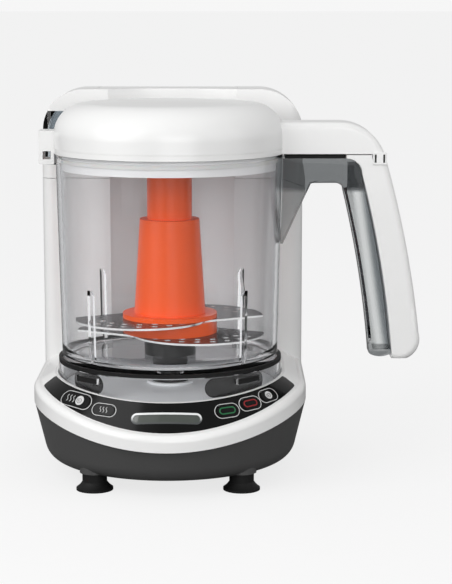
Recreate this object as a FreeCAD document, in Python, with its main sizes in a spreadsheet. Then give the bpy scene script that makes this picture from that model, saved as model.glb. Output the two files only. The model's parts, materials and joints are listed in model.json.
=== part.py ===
"""A countertop baby food maker: steamer tower, blending bowl and control base.

Every length is in millimetres. While the pieces are worked out, the bowl's axis is the Z axis, the table is
z = 0, the control panel faces -Y and the handle points along +X. Each finished piece is then placed so that
the origin lies under the middle of the whole machine.
"""
import FreeCAD
import Part
import Sketcher

import math
import os

SIZES = {
    # Bowl: outer radius at the rim, draw-in at the floor, wall, heights above its seat
    "bowl_radius": 70.0,
    "bowl_draft": 2.8,
    "bowl_wall": 2.4,
    "bowl_floor": 2.8,
    "bowl_depth": 128.3,
    "skirt_height": 15.7,
    "skirt_inset": 0.5,
    "bowl_boss_radius": 12.4,
    "boss_collar_radius": 16.0,
    "bowl_boss_height": 14.0,
    "rib_depth": 3.4,
    "rib_width": 2.6,
    "rib_height": 46.5,
    "rib_angle": 45.0,
    "lug_slot_width": 18.0,
    "lug_slot_height": 3.6,
    "lug_slot_rise": 9.2,
    "skirt_lug_depth": 4.0,
    "bowl_ring_height": 2.2,
    "bowl_corner": 8.0,
    # Base: levels from the table up, and widths from the bowl's seat outwards
    "foot_height": 9.5,
    "tub_front_height": 21.0,
    "tub_side_height": 37.0,
    "tub_taper": 9.0,
    "tub_round": 12.0,
    "band_front": 10.5,
    "band_side": 12.0,
    "band_shoulder": 4.7,
    "panel_rise_front": 17.0,
    "panel_rise_side": 5.5,
    "panel_run": 8.5,
    "rim_width": 1.7,
    "pocket_depth": 2.0,
    "seat_gap": 0.8,
    "seat_thickness": 1.6,
    "seat_hole": 24.0,
    "housing_wall": 2.6,
    "control_depth": 7.0,
    "seam_gap": 0.4,
    # Tower and its head
    "recess_gap": 4.5,
    "recess_half_width": 41.6,
    "tower_depth": 29.5,
    "column_depth": 16.5,
    "column_fall": 3.0,
    "tower_front_corner": 8.0,
    "tower_back_corner": 28.0,
    "head_corner": 28.0,
    "collar_drop": 22.0,
    "collar_height": 9.0,
    "shell_height": 35.0,
    "cap_height": 14.0,
    "tank_wall": 2.2,
    "tank_step": 0.5,
    "tank_gap": 0.3,
    # Fill flap in the tank's cap
    "flap_left": 49.0,
    "flap_right": 43.0,
    "flap_depth": 21.0,
    "flap_setback": 5.0,
    "flap_thickness": 2.4,
    "flap_gap": 0.4,
    "flap_knuckle": 2.0,
    "flap_pin_radius": 1.0,
    # Lid
    "lid_gap": 0.3,
    "lid_bulge": 1.0,
    "lid_height": 30.7,
    "lid_side_height": 10.7,
    "lid_shoulder": 20.0,
    "lid_crown": 1.0,
    "lid_wall": 2.4,
    "lid_seam_height": 3.0,
    "lid_seam_width": 0.5,
    "liner_gap": 1.6,
    "liner_wall": 1.8,
    "liner_reach": 9.5,
    "liner_rise": 3.0,
    "seal_height": 2.4,
    "seal_gap": 0.4,
    "arm_width": 30.0,
    "arm_height": 19.2,
    "arm_reach": 35.0,
    "arm_curve": 28.5,
    "edge_round": 4.0,
    "latch_width": 18.0,
    "latch_depth": 8.9,
    "latch_drop": 6.5,
    "latch_rise": 13.7,
    "latch_wall": 1.6,
    "latch_gap": 0.9,
    "window_inset": 2.5,
    "window_width": 4.9,
    "window_rise": 3.1,
    "window_height": 5.0,
    # Hinge between the lid's arm and the handle
    "hinge_reach": 58.8,
    "hinge_drop": 1.0,
    "hinge_pin_radius": 1.3,
    "hinge_fit": 0.05,
    "lug_radius": 2.8,
    "lug_width": 16.0,
    "lug_gap": 0.4,
    "cheek_radius": 2.8,
    "cheek_gap": 1.9,
    # Handle: distances from the bowl's wall and from the rim down
    "bridge_drop": 2.7,
    "bridge_height": 15.5,
    "bridge_reach": 38.6,
    "gusset_reach": 17.0,
    "gusset_height": 37.0,
    "grip_top_gap": 37.3,
    "grip_bottom_gap": 53.9,
    "grip_length": 124.0,
    "grip_curve": 636.0,
    "grip_lean": 0.25,
    "grip_corner": 5.0,
    "rail_depth": 13.6,
    "rail_width": 22.0,
    "rail_corner": 9.4,
    "rail_wall": 2.2,
    "cover_depth": 17.0,
    "cover_width": 30.0,
    "cover_foot": 13.0,
    "cover_round": 5.0,
    "handle_gap": 0.3,
    # Blade assembly
    "blade_clearance": 1.6,
    "blade_thickness": 1.2,
    "blade_spread": 8.0,
    "blade_tip": 58.5,
    "blade_sweep": 4.0,
    "blade_root_out": 22.0,
    "blade_root_back": 16.0,
    "blade_curve": 41.0,
    "blade_hole_radius": 2.0,
    "blade_lobe": 17.5,
    "blade_row_inner": 27.0,
    "blade_row_outer": 35.0,
    "flange_radius": 29.4,
    "flange_height": 12.0,
    "cone_low_radius": 22.2,
    "cone_high_radius": 18.5,
    "cone_height": 61.6,
    "stem_radius": 13.9,
    "stem_height": 39.2,
    "spindle_radius": 4.0,
    "spindle_fit": 0.05,
    "bush_wall": 2.0,
    "hub_fit": 0.1,
    # Drive
    "motor_radius": 30.0,
    "motor_height": 32.0,
    "shaft_radius": 3.0,
    "shaft_fit": 0.06,
    "bracket_radius": 37.0,
    "bracket_thickness": 2.0,
    "grommet_radius": 4.5,
    "grommet_height": 3.0,
    "coupler_radius": 11.0,
    "coupler_height": 7.0,
    "coupler_hex": 7.7,
    "coupler_fit": 0.5,
    "coupler_lift": 1.0,
    # Steam and water
    "boiler_radius": 11.0,
    "boiler_length": 64.0,
    "boiler_saddle": 14.0,
    "saddle_width": 10.0,
    "saddle_setback": 8.0,
    "pipe_radius": 4.0,
    "pipe_bend": 6.0,
    "pipe_inset": 6.0,
    "pipe_fit": 0.3,
    "nozzle_radius": 6.5,
    "nozzle_bore": 3.0,
    "nozzle_depth": 3.5,
    "nozzle_gap": 0.5,
    "port_drop": 2.0,
    "port_radius": 5.5,
    "valve_offset": 60.0,
    "valve_radius": 4.0,
    "valve_head": 6.4,
    "socket_wall": 2.5,
    "socket_height": 4.0,
    "hose_radius": 4.0,
    "hose_bend": 14.0,
    # Control panel
    "panel_thickness": 1.4,
    "panel_margin": 0.5,
    "panel_fit": 0.2,
    "panel_angle": 76.0,
    "panel_corner": 2.4,
    "button_proud": 0.4,
    "button_gap": 0.3,
    "button_ear": 1.6,
    "button_ear_thickness": 0.6,
    "button_travel": 0.8,
    "switch_radius": 2.2,
    "switch_height": 0.8,
    "display_length": 42.0,
    "display_width": 7.0,
    "display_frame": 1.2,
    "display_angle": 0.0,
    "board_width": 64.0,
    "board_depth": 22.0,
    "board_thickness": 1.6,
    "board_setback": 44.5,
    "standoff_height": 6.0,
    # Suction feet
    "foot_radius": 11.2,
    "foot_neck": 7.5,
    "foot_rim": 2.6,
    "foot_cup": 3.2,
    "foot_plug": 3.5,
    "foot_plug_length": 5.0,
    "foot_rise": 2.5,
    "foot_boss": 9.0,
    "foot_spread_front": 44.5,
    "foot_front": 51.0,
    "foot_spread_rear": 56.0,
    "foot_rear": 78.0,
    # Fasteners and cord inlet
    "screw_radius": 1.8,
    "screw_head": 3.2,
    "screw_head_height": 2.0,
    "inlet_radius": 6.0,
    "inlet_bore": 3.6,
    "inlet_height": 26.0,
    "inlet_offset": 40.0,
    "inlet_length": 12.0,
    "screw_spread": 52.0,
    "screw_front": 14.0,
    "screw_rear": 54.0,
    "screw_sink": 5.0,
    "post_height": 18.0,
}

# Buttons around the panel: angle from the front, length and width
BUTTONS = {
    "steam_blend_button": (-46.0, 21.0, 8.4),
    "steam_button": (-29.5, 14.0, 6.4),
    "start_button": (28.0, 13.0, 7.4),
    "stop_button": (40.5, 12.0, 7.4),
    "blend_button": (52.5, 11.5, 7.2),
}

# Grommets, ribs and skirt lugs come in fours. Then the holes in each row of a blade's lobe, from the inner
# row out, and the arc that a row takes up, in degrees
QUARTERS = 4
HOLE_COUNTS = (7, 9)
HOLES_START = 20.0
HOLES_SPAN = 140.0

UP = FreeCAD.Vector(0, 0, 1)
RIGHTWARD = (1, 0, 0)
BACKWARD = (0, 1, 0)
# Reach of cutting tools beyond a face and over the panel, the play within which points count as the same, and
# the part of the band's shoulder that is rounded off
ROOM = 40.0
PANEL_ROOM = 10.0
TOUCH = 0.01
ROUNDED_SHARE = 0.95


class Size:
    """A length together with the sheet expression that gives it."""

    def __init__(self, value, text):
        self.value = value
        self.text = text

    @staticmethod
    def of(other):
        """Return a number or a size as a size."""
        if isinstance(other, Size):
            return other
        return Size(float(other), repr(float(other)))

    def __add__(self, other):
        other = Size.of(other)
        return Size(self.value + other.value, f"({self.text} + {other.text})")

    def __sub__(self, other):
        other = Size.of(other)
        return Size(self.value - other.value, f"({self.text} - {other.text})")

    def __mul__(self, other):
        other = Size.of(other)
        return Size(self.value * other.value, f"({self.text} * {other.text})")

    def __truediv__(self, other):
        other = Size.of(other)
        return Size(self.value / other.value, f"({self.text} / {other.text})")

    def __neg__(self):
        return Size(-self.value, f"(0 - {self.text})")

    def root(self):
        """Return the square root."""
        return Size(math.sqrt(self.value), f"sqrt({self.text})")


class Sizes:
    """The driving dimensions, held in a sheet, and the levels that follow from them."""

    def __init__(self, document):
        self.sheet = document.addObject("Spreadsheet::Sheet", "Sizes")
        for row, (alias, value) in enumerate(SIZES.items(), start=1):
            self.sheet.set(f"A{row}", alias)
            self.sheet.set(f"B{row}", str(value))
            self.sheet.setAlias(f"B{row}", alias)
            setattr(self, alias, Size(value, f"Sizes.{alias}"))
        document.recompute()


class Arc:
    """An arc to a point, bulging to the left or right of the straight way there."""

    def __init__(self, x, y, radius, left=True):
        self.x = x
        self.y = y
        self.radius = radius
        self.left = left


doc = FreeCAD.newDocument("baby_food_maker")
s = Sizes(doc)
nodes = []

# Levels, from the table up
tub_bottom = s.foot_height
split_front = tub_bottom + s.tub_front_height
split_side = tub_bottom + s.tub_side_height
band_top_front = split_front + s.band_front
band_top_side = split_side + s.band_side
rim_front = band_top_front + s.panel_rise_front
rim_side = band_top_side + s.panel_rise_side
pocket_floor = rim_front - s.pocket_depth
pocket_base = pocket_floor - s.seat_thickness
pocket_under = pocket_base - s.housing_wall
bowl_floor_z = pocket_floor + s.skirt_height
bowl_inside = bowl_floor_z + s.bowl_floor
bowl_rim = bowl_floor_z + s.bowl_depth
boss_top = bowl_floor_z + s.bowl_boss_height
tower_seam = bowl_rim - s.collar_drop
collar_top = tower_seam + s.collar_height
shell_top = collar_top + s.shell_height
tower_top = shell_top + s.cap_height
column_top = shell_top - s.column_fall
lid_base = bowl_rim + s.lid_gap
lid_side_top = lid_base + s.lid_side_height
lid_top = lid_base + s.lid_height
tub_floor = tub_bottom + s.housing_wall

# Widths, from the bowl's axis outwards
skirt_radius = s.bowl_radius - s.skirt_inset
pocket_radius = skirt_radius + s.seat_gap
rim_radius = pocket_radius + s.rim_width
panel_outer = rim_radius + s.panel_run
base_radius = panel_outer + s.band_shoulder
lid_radius = s.bowl_radius + s.lid_bulge
recess_radius = lid_radius + s.recess_gap
tower_front = (recess_radius * recess_radius - s.recess_half_width * s.recess_half_width).root()
tower_back = recess_radius + s.tower_depth
column_back = recess_radius + s.column_depth
column_middle = recess_radius + s.column_depth / 2
bowl_low_radius = s.bowl_radius - s.bowl_draft

# The handle's curve and the hinge over it
grip_top_x = s.bowl_radius + s.grip_top_gap
grip_top_z = bowl_rim - s.bridge_drop - s.bridge_height - s.grip_corner
grip_bottom_x = s.bowl_radius + s.grip_bottom_gap
grip_bottom_z = bowl_rim - s.grip_length
hinge_x = s.bowl_radius + s.hinge_reach
hinge_z = bowl_rim - s.hinge_drop
cover_low_x = grip_bottom_x + s.rail_depth + s.cover_depth
cover_low_z = grip_bottom_z + s.cover_foot
cover_top = bowl_rim - s.lid_gap
cover_top_x = grip_top_x + s.rail_depth + s.cover_depth - s.grip_lean * (cover_top - grip_top_z)
cover_foot_z = grip_bottom_z - s.cover_round / 2
cover_foot_run = s.cover_foot / 2
cover_foot_rise = cover_low_z - cover_foot_z
cover_foot_chord = (cover_foot_run * cover_foot_run + cover_foot_rise * cover_foot_rise).root()
cover_foot_offset = (s.cover_foot * s.cover_foot - cover_foot_chord * cover_foot_chord / 4).root()
cover_foot_bulge = s.cover_foot - cover_foot_offset * (cover_foot_rise / cover_foot_chord)
handle_reach = cover_low_x - cover_foot_run / 2 + cover_foot_bulge

# The shift that brings the middle of the machine over the origin
axis_x = (base_radius - handle_reach) / 2
axis_y = (base_radius - tower_back) / 2

# Places that several pieces share
pipe_y = column_back - s.pipe_inset
nozzle_z = lid_side_top - s.port_drop
nozzle_back = recess_radius + s.nozzle_depth
socket_radius = s.hose_radius + s.socket_wall
panel_back = s.panel_thickness.value
panel_edge = s.panel_margin.value
recess_angle = s.panel_angle.value + math.degrees(s.panel_fit.value / panel_outer.value)
ear_room = s.panel_thickness + s.button_gap + s.button_ear_thickness + s.button_travel + s.button_gap
longest_button = Size.of(max(length for angle, length, width in BUTTONS.values()))
well_reach = longest_button / 2 + s.button_ear + s.button_gap
well_sag = well_reach * well_reach / (rim_radius * 2)
well_depth = ear_room + s.switch_height + well_sag
motor_top = tub_floor + s.grommet_height + s.bracket_thickness + s.motor_height
coupler_z = pocket_floor + s.coupler_lift
coupler_cup_top = coupler_z + s.coupler_height + s.coupler_lift + s.coupler_fit
boss_bottom = bowl_floor_z - s.bowl_wall
lower_blade_z = boss_top + s.blade_clearance
hub_low = lower_blade_z + s.blade_thickness * 2 + s.blade_spread
flap_front = recess_radius + s.flap_setback
flap_axis_y = flap_front + s.flap_depth - s.flap_gap - s.flap_knuckle
flap_axis_z = tower_top - s.flap_knuckle


def bind(target, prop, size):
    """Tie a property to its sheet expression."""
    target.setExpression(prop, Size.of(size).text)


def place(target, at=(0, 0, 0), turn=None):
    """Put an object at a point, turned, with its point tied to the sheet."""
    rotation = turn or FreeCAD.Rotation()
    point = FreeCAD.Vector(*(Size.of(value).value for value in at))
    target.Placement = FreeCAD.Placement(point, rotation)
    for letter, value in zip("xyz", at):
        if isinstance(value, Size):
            bind(target, f"Placement.Base.{letter}", value)
    return target


def facing(direction):
    """Return the turn that takes the Z axis to a direction."""
    return FreeCAD.Rotation(UP, FreeCAD.Vector(*direction))


def cylinder(name, radius, height, at=(0, 0, 0), direction=(0, 0, 1)):
    """Make a cylinder that starts at a point and runs along a direction."""
    item = doc.addObject("Part::Cylinder", name)
    bind(item, "Radius", radius)
    bind(item, "Height", height)
    return place(item, at, facing(direction))


def cone(name, low, high, height, at=(0, 0, 0)):
    """Make an upright cone from a low radius to a high one."""
    item = doc.addObject("Part::Cone", name)
    bind(item, "Radius1", low)
    bind(item, "Radius2", high)
    bind(item, "Height", height)
    return place(item, at)


def box(name, length, width, height, at=(0, 0, 0)):
    """Make a box from its lowest corner."""
    item = doc.addObject("Part::Box", name)
    bind(item, "Length", length)
    bind(item, "Width", width)
    bind(item, "Height", height)
    return place(item, at)


def block(name, length, width, height, at=(0, 0, 0)):
    """Make a box centred in X and Y on a point, standing on it."""
    x, y, z = (Size.of(value) for value in at)
    return box(name, length, width, height, (x - Size.of(length) / 2, y - Size.of(width) / 2, z))


def fuse(name, *parts):
    """Join overlapping shapes into one."""
    item = doc.addObject("Part::MultiFuse", name)
    item.Shapes = list(parts)
    return item


def common(name, *parts):
    """Keep what shapes share."""
    item = doc.addObject("Part::MultiCommon", name)
    item.Shapes = list(parts)
    return item


def cut(name, base, *tools):
    """Take tools away from a base shape."""
    item = doc.addObject("Part::Cut", name)
    item.Base = base
    item.Tool = tools[0] if len(tools) == 1 else fuse(f"{name}_tools", *tools)
    return item


def ring(name, outer, inner, height, at=(0, 0, 0), direction=(0, 0, 1)):
    """Make a ring from two cylinders."""
    solid = cylinder(f"{name}_solid", outer, height, at, direction)
    return cut(name, solid, cylinder(f"{name}_bore", inner, height, at, direction))


def arc_edge(start, end, radius, left):
    """Return the arc of a radius from start to end, bulging to one side of the chord."""
    chord = end - start
    half = chord.Length / 2
    side = FreeCAD.Vector(-chord.y, chord.x, 0).normalize()
    sign = 1.0 if left else -1.0
    rise = radius - math.sqrt(max(radius * radius - half * half, 0.0))
    middle = (start + end) * 0.5 + side * (sign * rise)
    return Part.Arc(start, middle, end)


def outline(body, plane, steps, level=0):
    """Draw a closed outline in one of a body's planes, with every point tied to the sheet."""
    sketch = body.newObject("Sketcher::SketchObject", f"{body.Name}_outline")
    support = next(item for item in body.Origin.OriginFeatures if item.Role == plane)
    sketch.AttachmentSupport = [(support, "")]
    sketch.MapMode = "FlatFace"
    bind(sketch, "AttachmentOffset.Base.z", level)
    corners = []
    for step in steps:
        x, y = (step.x, step.y) if isinstance(step, Arc) else step
        corners.append((Size.of(x), Size.of(y)))
    points = [FreeCAD.Vector(x.value, y.value, 0) for x, y in corners]
    edges = []
    for index in range(len(steps)):
        start = points[index]
        following = (index + 1) % len(steps)
        target = steps[following]
        if isinstance(target, Arc):
            edges.append(arc_edge(start, points[following], Size.of(target.radius).value, target.left))
        else:
            edges.append(Part.LineSegment(start, points[following]))
    sketch.addGeometry(edges, False)
    constraints = []
    ties = []
    starts = [start_position(sketch, index, points[index]) for index in range(len(steps))]
    for index, (x, y) in enumerate(corners):
        previous = (index - 1) % len(steps)
        meeting = 3 - starts[previous]
        constraints.append(Sketcher.Constraint("Coincident", previous, meeting, index, starts[index]))
        for kind, size in (("DistanceX", x), ("DistanceY", y)):
            ties.append((len(constraints), size))
            constraints.append(Sketcher.Constraint(kind, -1, 1, index, starts[index], size.value))
        if isinstance(steps[index], Arc):
            radius = Size.of(steps[index].radius)
            ties.append((len(constraints), radius))
            constraints.append(Sketcher.Constraint("Radius", previous, radius.value))
    sketch.addConstraint(constraints)
    for index, size in ties:
        sketch.setExpression(f"Constraints[{index}]", size.text)
    return sketch


def start_position(sketch, index, point):
    """Tell which end of an edge lies on a point: an arc is stored anticlockwise."""
    first = sketch.getPoint(index, 1)
    last = sketch.getPoint(index, 2)
    return 1 if (first - point).Length <= (last - point).Length else 2


def revolved(name, steps, angle=360):
    """Turn a half-section, drawn in X and Z, about the upright axis, from +X towards +Y."""
    body = doc.addObject("PartDesign::Body", name)
    sketch = outline(body, "XZ_Plane", steps)
    turn = body.newObject("PartDesign::Revolution", f"{name}_turn")
    turn.Profile = sketch
    turn.ReferenceAxis = (sketch, ["V_Axis"])
    turn.Angle = angle
    return body


def padded(name, plane, steps, length, level=0, symmetric=False, back=False):
    """Pad an outline off one of the body's planes."""
    body = doc.addObject("PartDesign::Body", name)
    pad = body.newObject("PartDesign::Pad", f"{name}_pad")
    pad.Profile = outline(body, plane, steps, level)
    bind(pad, "Length", length)
    pad.SideType = "Symmetric" if symmetric else "One side"
    pad.Reversed = back
    body.Tip = pad
    return body


def lies_off_middle(edge, reach):
    """Tell whether an edge lies in one of the two upright planes at a distance from the middle."""
    return all(abs(abs(vertex.Y) - reach) < TOUCH for vertex in edge.Vertexes)


def rounded(body, radius, chosen):
    """Round those edges of a body that a test picks."""
    doc.recompute()
    tip = body.Tip
    names = []
    for index, edge in enumerate(tip.Shape.Edges, start=1):
        if chosen(edge):
            names.append(f"Edge{index}")
    fillet = body.newObject("PartDesign::Fillet", f"{body.Name}_round")
    fillet.Base = (tip, names)
    bind(fillet, "Radius", radius)
    body.Tip = fillet
    return body


def free_shape(name, shape):
    """Hold a shape that neither sketches nor primitives give."""
    item = doc.addObject("Part::Feature", name)
    item.Shape = shape
    return item


def tube(name, points, bend, radius):
    """Sweep a round section along straight runs joined by arcs."""
    path = []
    start = points[0]
    for index in range(1, len(points) - 1):
        corner = points[index]
        back = (points[index - 1] - corner).normalize()
        ahead = (points[index + 1] - corner).normalize()
        half = back.getAngle(ahead) / 2
        reach = bend / math.tan(half)
        centre = corner + (back + ahead).normalize() * (bend / math.sin(half))
        entry = corner + back * reach
        leave = corner + ahead * reach
        middle = centre + (corner - centre).normalize() * bend
        path.append(Part.LineSegment(start, entry).toShape())
        path.append(Part.Arc(entry, middle, leave).toShape())
        start = leave
    path.append(Part.LineSegment(start, points[-1]).toShape())
    wire = Part.Wire(path)
    circle = Part.Wire(Part.Circle(points[0], points[1] - points[0], radius).toShape())
    return free_shape(name, wire.makePipeShell([circle], True, False))


def node(item, label):
    """Name a finished piece and move it with the whole machine."""
    item.Label = label
    base = item.Placement.Base
    ties = dict(item.ExpressionEngine)
    for letter, shift in (("x", axis_x), ("y", axis_y)):
        own = ties.get(f"Placement.Base.{letter}", ties.get(f".Placement.Base.{letter}"))
        offset = repr(float(getattr(base, letter))) if own is None else own
        item.setExpression(f"Placement.Base.{letter}", f"{offset} + {shift.text}")
    nodes.append(item)
    return item


def held(item, label):
    """Name a finished free shape, whose place is set after its shape."""
    item.Label = label
    item.Placement = FreeCAD.Placement(FreeCAD.Vector(axis_x.value, axis_y.value, 0), FreeCAD.Rotation())
    nodes.append(item)
    return item


# Shapes shared by the base, the tower and the tank

def sagging(level_side, level_front, radius, y):
    """Return the height of a rim that sags from the sides to the front in an arc."""
    drop = level_side - level_front
    if y >= 0 or drop <= 0:
        return level_side
    bend = (radius * radius + drop * drop) / (2 * drop)
    return level_side - (bend - math.sqrt(bend * bend - y * y))


class PanelSection:
    """The panel's slope in the upright plane at one angle from the front."""

    def __init__(self, angle):
        self.angle = math.radians(angle)
        facing_front = -math.cos(self.angle)
        inner = rim_radius.value
        outer = panel_outer.value
        self.inner = (inner, sagging(rim_side.value, rim_front.value, inner, inner * facing_front))
        self.outer = (outer, sagging(band_top_side.value, band_top_front.value, outer, outer * facing_front))
        run = self.outer[0] - self.inner[0]
        fall = self.inner[1] - self.outer[1]
        self.length = math.hypot(run, fall)
        self.slope = (run / self.length, -fall / self.length)
        self.normal = (fall / self.length, run / self.length)

    def point(self, along, depth):
        """Return the point so far down the slope and so deep under it."""
        radius = self.inner[0] + self.slope[0] * along - self.normal[0] * depth
        height = self.inner[1] + self.slope[1] * along - self.normal[1] * depth
        return self.at(radius, height)

    def at(self, radius, height):
        """Return the point at a radius and height in this plane."""
        return FreeCAD.Vector(radius * math.sin(self.angle), -radius * math.cos(self.angle), height)

    def outward(self):
        """Return the direction square to the slope."""
        return self.at(self.normal[0], self.normal[1])

    def sideways(self):
        """Return the direction along the panel, to the right."""
        return FreeCAD.Vector(math.cos(self.angle), math.sin(self.angle), 0)

    def frame(self):
        """Return the place of the slope's middle, with X along the panel and Z out of it."""
        across = self.outward().cross(self.sideways())
        turn = FreeCAD.Rotation(self.sideways(), across, self.outward(), "ZXY")
        return FreeCAD.Placement(self.point(self.length / 2, 0.0), turn)


CURVE_STEPS = 12
RIBBON_STEPS = 12


def front_curve(place_point):
    """Return a smooth curve round the front, from side to side, through a point of each panel section."""
    points = []
    for index in range(CURVE_STEPS + 1):
        points.append(place_point(PanelSection(180.0 * index / CURVE_STEPS - 90.0)))
    curve = Part.BSplineCurve()
    curve.interpolate(Points=points)
    return curve.toShape()


def bell(wall, depth, smooth):
    """Return the white band as a solid: a round front with the panel's slope, run straight into the tower.

    The side is set in by a wall, and the slope by a depth. The shoulder is rounded if asked.
    """
    side = base_radius.value - wall
    shoulder = band_shoulder_inside(wall)
    plateau = rim_radius.value / 2

    def rim_inside(section):
        return section.point(0.0, depth) - section.at(band_shoulder_inside(0.0), 0.0)

    foot = front_curve(lambda section: section.at(side, 0.0))
    wall_top = front_curve(lambda section: section.at(side, section.outer[1] - depth))
    low_edge = front_curve(lambda section: section.at(side - shoulder, section.outer[1] - depth))
    high_edge = front_curve(lambda section: section.point(0.0, depth))
    inner_edge = front_curve(rim_inside)
    top_edge = front_curve(lambda section: section.at(plateau, PanelSection(90.0).point(0.0, depth).z))
    curves = [Part.Wire(curve) for curve in (foot, wall_top, low_edge, high_edge, inner_edge, top_edge)]
    strips = []
    for lower, upper in zip(curves, curves[1:]):
        strips += Part.makeLoft([lower, upper], False, True).Faces
    run_back = FreeCAD.Vector(0, tower_back.value - s.tower_back_corner.value + wall, 0)
    ends = [edge for face in strips for edge in face.Edges if lies_at_side(edge)]
    faces = strips + [edge.extrude(run_back) for edge in ends]
    back_edges = [edge.translated(run_back) for edge in ends]
    for curve in (foot, top_edge):
        left = curve.Vertexes[0].Point
        right = curve.Vertexes[1].Point
        far = Part.LineSegment(right + run_back, left + run_back).toShape()
        sides = [
            Part.LineSegment(right, right + run_back).toShape(),
            Part.LineSegment(left + run_back, left).toShape(),
        ]
        faces.append(Part.Face(Part.Wire(Part.__sortEdges__([curve, far] + sides))))
        back_edges.append(far)
    faces.append(Part.Face(Part.Wire(Part.__sortEdges__(back_edges))))
    shell = Part.makeShell(faces)
    shell.sewShape()
    solid = Part.makeSolid(Part.Shell(shell.Faces))
    if solid.Volume < 0:
        solid = solid.reversed()
    if not smooth:
        return solid
    corners = [edge for edge in solid.Edges if tops_wall(edge, side)]
    return solid.makeFillet(shoulder * ROUNDED_SHARE, corners)


def tops_wall(edge, side):
    """Tell whether an edge runs level along the top of the band's wall."""
    ends = [vertex.Point for vertex in edge.Vertexes]
    level = max(end.z for end in ends) - min(end.z for end in ends) < TOUCH
    return level and ends[0].z > TOUCH and all(abs(abs(end.x) - side) < TOUCH for end in ends)


def lies_at_side(edge):
    """Tell whether an edge lies in the plane between the round front and the straight back."""
    return all(abs(vertex.Y) < TOUCH for vertex in edge.Vertexes) and edge.BoundBox.YLength < TOUCH


def band_shoulder_inside(wall):
    """Return the base's shoulder radius inside a wall."""
    return s.band_shoulder.value - wall / 2


def ribbon(top, bottom, margin, half_angle):
    """Return a layer of the panel between two depths, set in from its long edges."""
    sections = []
    for index in range(RIBBON_STEPS + 1):
        section = PanelSection(half_angle * (2.0 * index / RIBBON_STEPS - 1.0))
        along = (margin, section.length - margin)
        corners = [section.point(along[0], top), section.point(along[1], top)]
        corners += [section.point(along[1], bottom), section.point(along[0], bottom)]
        sections.append(Part.makePolygon(corners + corners[:1]))
    return Part.makeLoft(sections, True, False)


def panel_plate(top, bottom, margin, half_angle, corner):
    """Return a layer of the panel with rounded ends."""
    solid = ribbon(top, bottom, margin, half_angle)
    ends = [PanelSection(half_angle), PanelSection(-half_angle)]
    corners = []
    for edge in solid.Edges:
        for section in ends:
            for along in (margin, section.length - margin):
                if joins(edge, section.point(along, top), section.point(along, bottom)):
                    corners.append(edge)
    return solid.makeFillet(corner, corners)


def joins(edge, first, second):
    """Tell whether an edge runs between two points."""
    points = [vertex.Point for vertex in edge.Vertexes]
    near = [min((point - end).Length for point in points) for end in (first, second)]
    return max(near) < TOUCH


def stadium(name, length, width, section, outwards=ROOM, inwards=ROOM):
    """Pad a round-ended slot shape, square to the panel at a section."""
    half = Size.of(width) / 2
    end = Size.of(length) / 2 - half
    steps = [
        Arc(-end, -half, half, left=False),
        (end, -half),
        Arc(end + half, 0, half, left=False),
        Arc(end, half, half, left=False),
        (-end, half),
        Arc(-end - half, 0, half, left=False),
    ]
    body = doc.addObject("PartDesign::Body", name)
    pad = body.newObject("PartDesign::Pad", f"{name}_pad")
    pad.Profile = outline(body, "XY_Plane", steps)
    pad.SideType = "Two sides"
    bind(pad, "Length", outwards)
    bind(pad, "Length2", inwards)
    body.Tip = pad
    body.Placement = section.frame()
    return body


def tower_plan(inset):
    """Return the tower's outline seen from above, set in by an inset."""
    half = base_radius - inset
    front = tower_front + inset
    back = tower_back - inset
    near = s.tower_front_corner - inset
    far = s.tower_back_corner - inset
    return [
        Arc(near - half, front, near, left=False),
        (half - near, front),
        Arc(half, front + near, near, left=False),
        (half, back - far),
        Arc(half - far, back, far, left=False),
        (far - half, back),
        Arc(-half, back - far, far, left=False),
        (-half, front + near),
    ]


def head_profile(inset):
    """Return the tower's front view with its rounded head, set in by an inset."""
    half = base_radius - inset
    top = tower_top - inset
    corner = s.head_corner - inset
    return [
        (-half, 0),
        (half, 0),
        (half, top - corner),
        Arc(half - corner, top, corner, left=False),
        (corner - half, top),
        Arc(-half, top - corner, corner, left=False),
    ]


def head_slice(name, inset, low, high, column=True):
    """Make a slice of the tower's head between two levels, clear of the lid and, if asked, the column."""
    inset = Size.of(inset)
    plan = padded(f"{name}_plan", "XY_Plane", tower_plan(inset), high - low, low)
    front = padded(f"{name}_front", "XZ_Plane", head_profile(inset), tower_back * 3, symmetric=True)
    solid = common(f"{name}_solid", plan, front)
    tools = [cylinder(f"{name}_recess", recess_radius + inset, tower_top)]
    if column:
        half = s.recess_half_width + s.tank_gap + inset
        depth = column_back + s.tank_gap + inset
        tools.append(box(f"{name}_column", half * 2, depth, tower_top, (-half, 0, 0)))
    return cut(name, solid, *tools)


# Lower housing, with its feet and screws

class TubSection:
    """The tub's wall in an upright section: flat floor, rounded corner and outward leaning side."""

    def __init__(self, reach, wall):
        slope = s.tub_taper / s.tub_side_height
        slant = (slope * slope + 1).root()
        self.reach = reach - wall
        self.radius = s.tub_round - wall
        self.low = tub_bottom + wall
        self.high = split_side + wall
        corner = self.reach - s.tub_taper
        run = self.radius * (slant - slope)
        self.floor_end = corner - run
        self.side_start = corner + run * slope / slant
        self.side_low = self.low + run / slant

    def half(self, start):
        """Return the outline from a distance off the axis outwards."""
        return [
            (start, self.low),
            (self.floor_end, self.low),
            Arc(self.side_start, self.side_low, self.radius, left=False),
            (self.reach, self.high),
            (start, self.high),
        ]

    def whole(self):
        """Return the outline from side to side."""
        return [
            Arc(-self.floor_end, self.low, self.radius, left=False),
            (self.floor_end, self.low),
            Arc(self.side_start, self.side_low, self.radius, left=False),
            (self.reach, self.high),
            (-self.reach, self.high),
            (-self.side_start, self.side_low),
        ]


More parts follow.
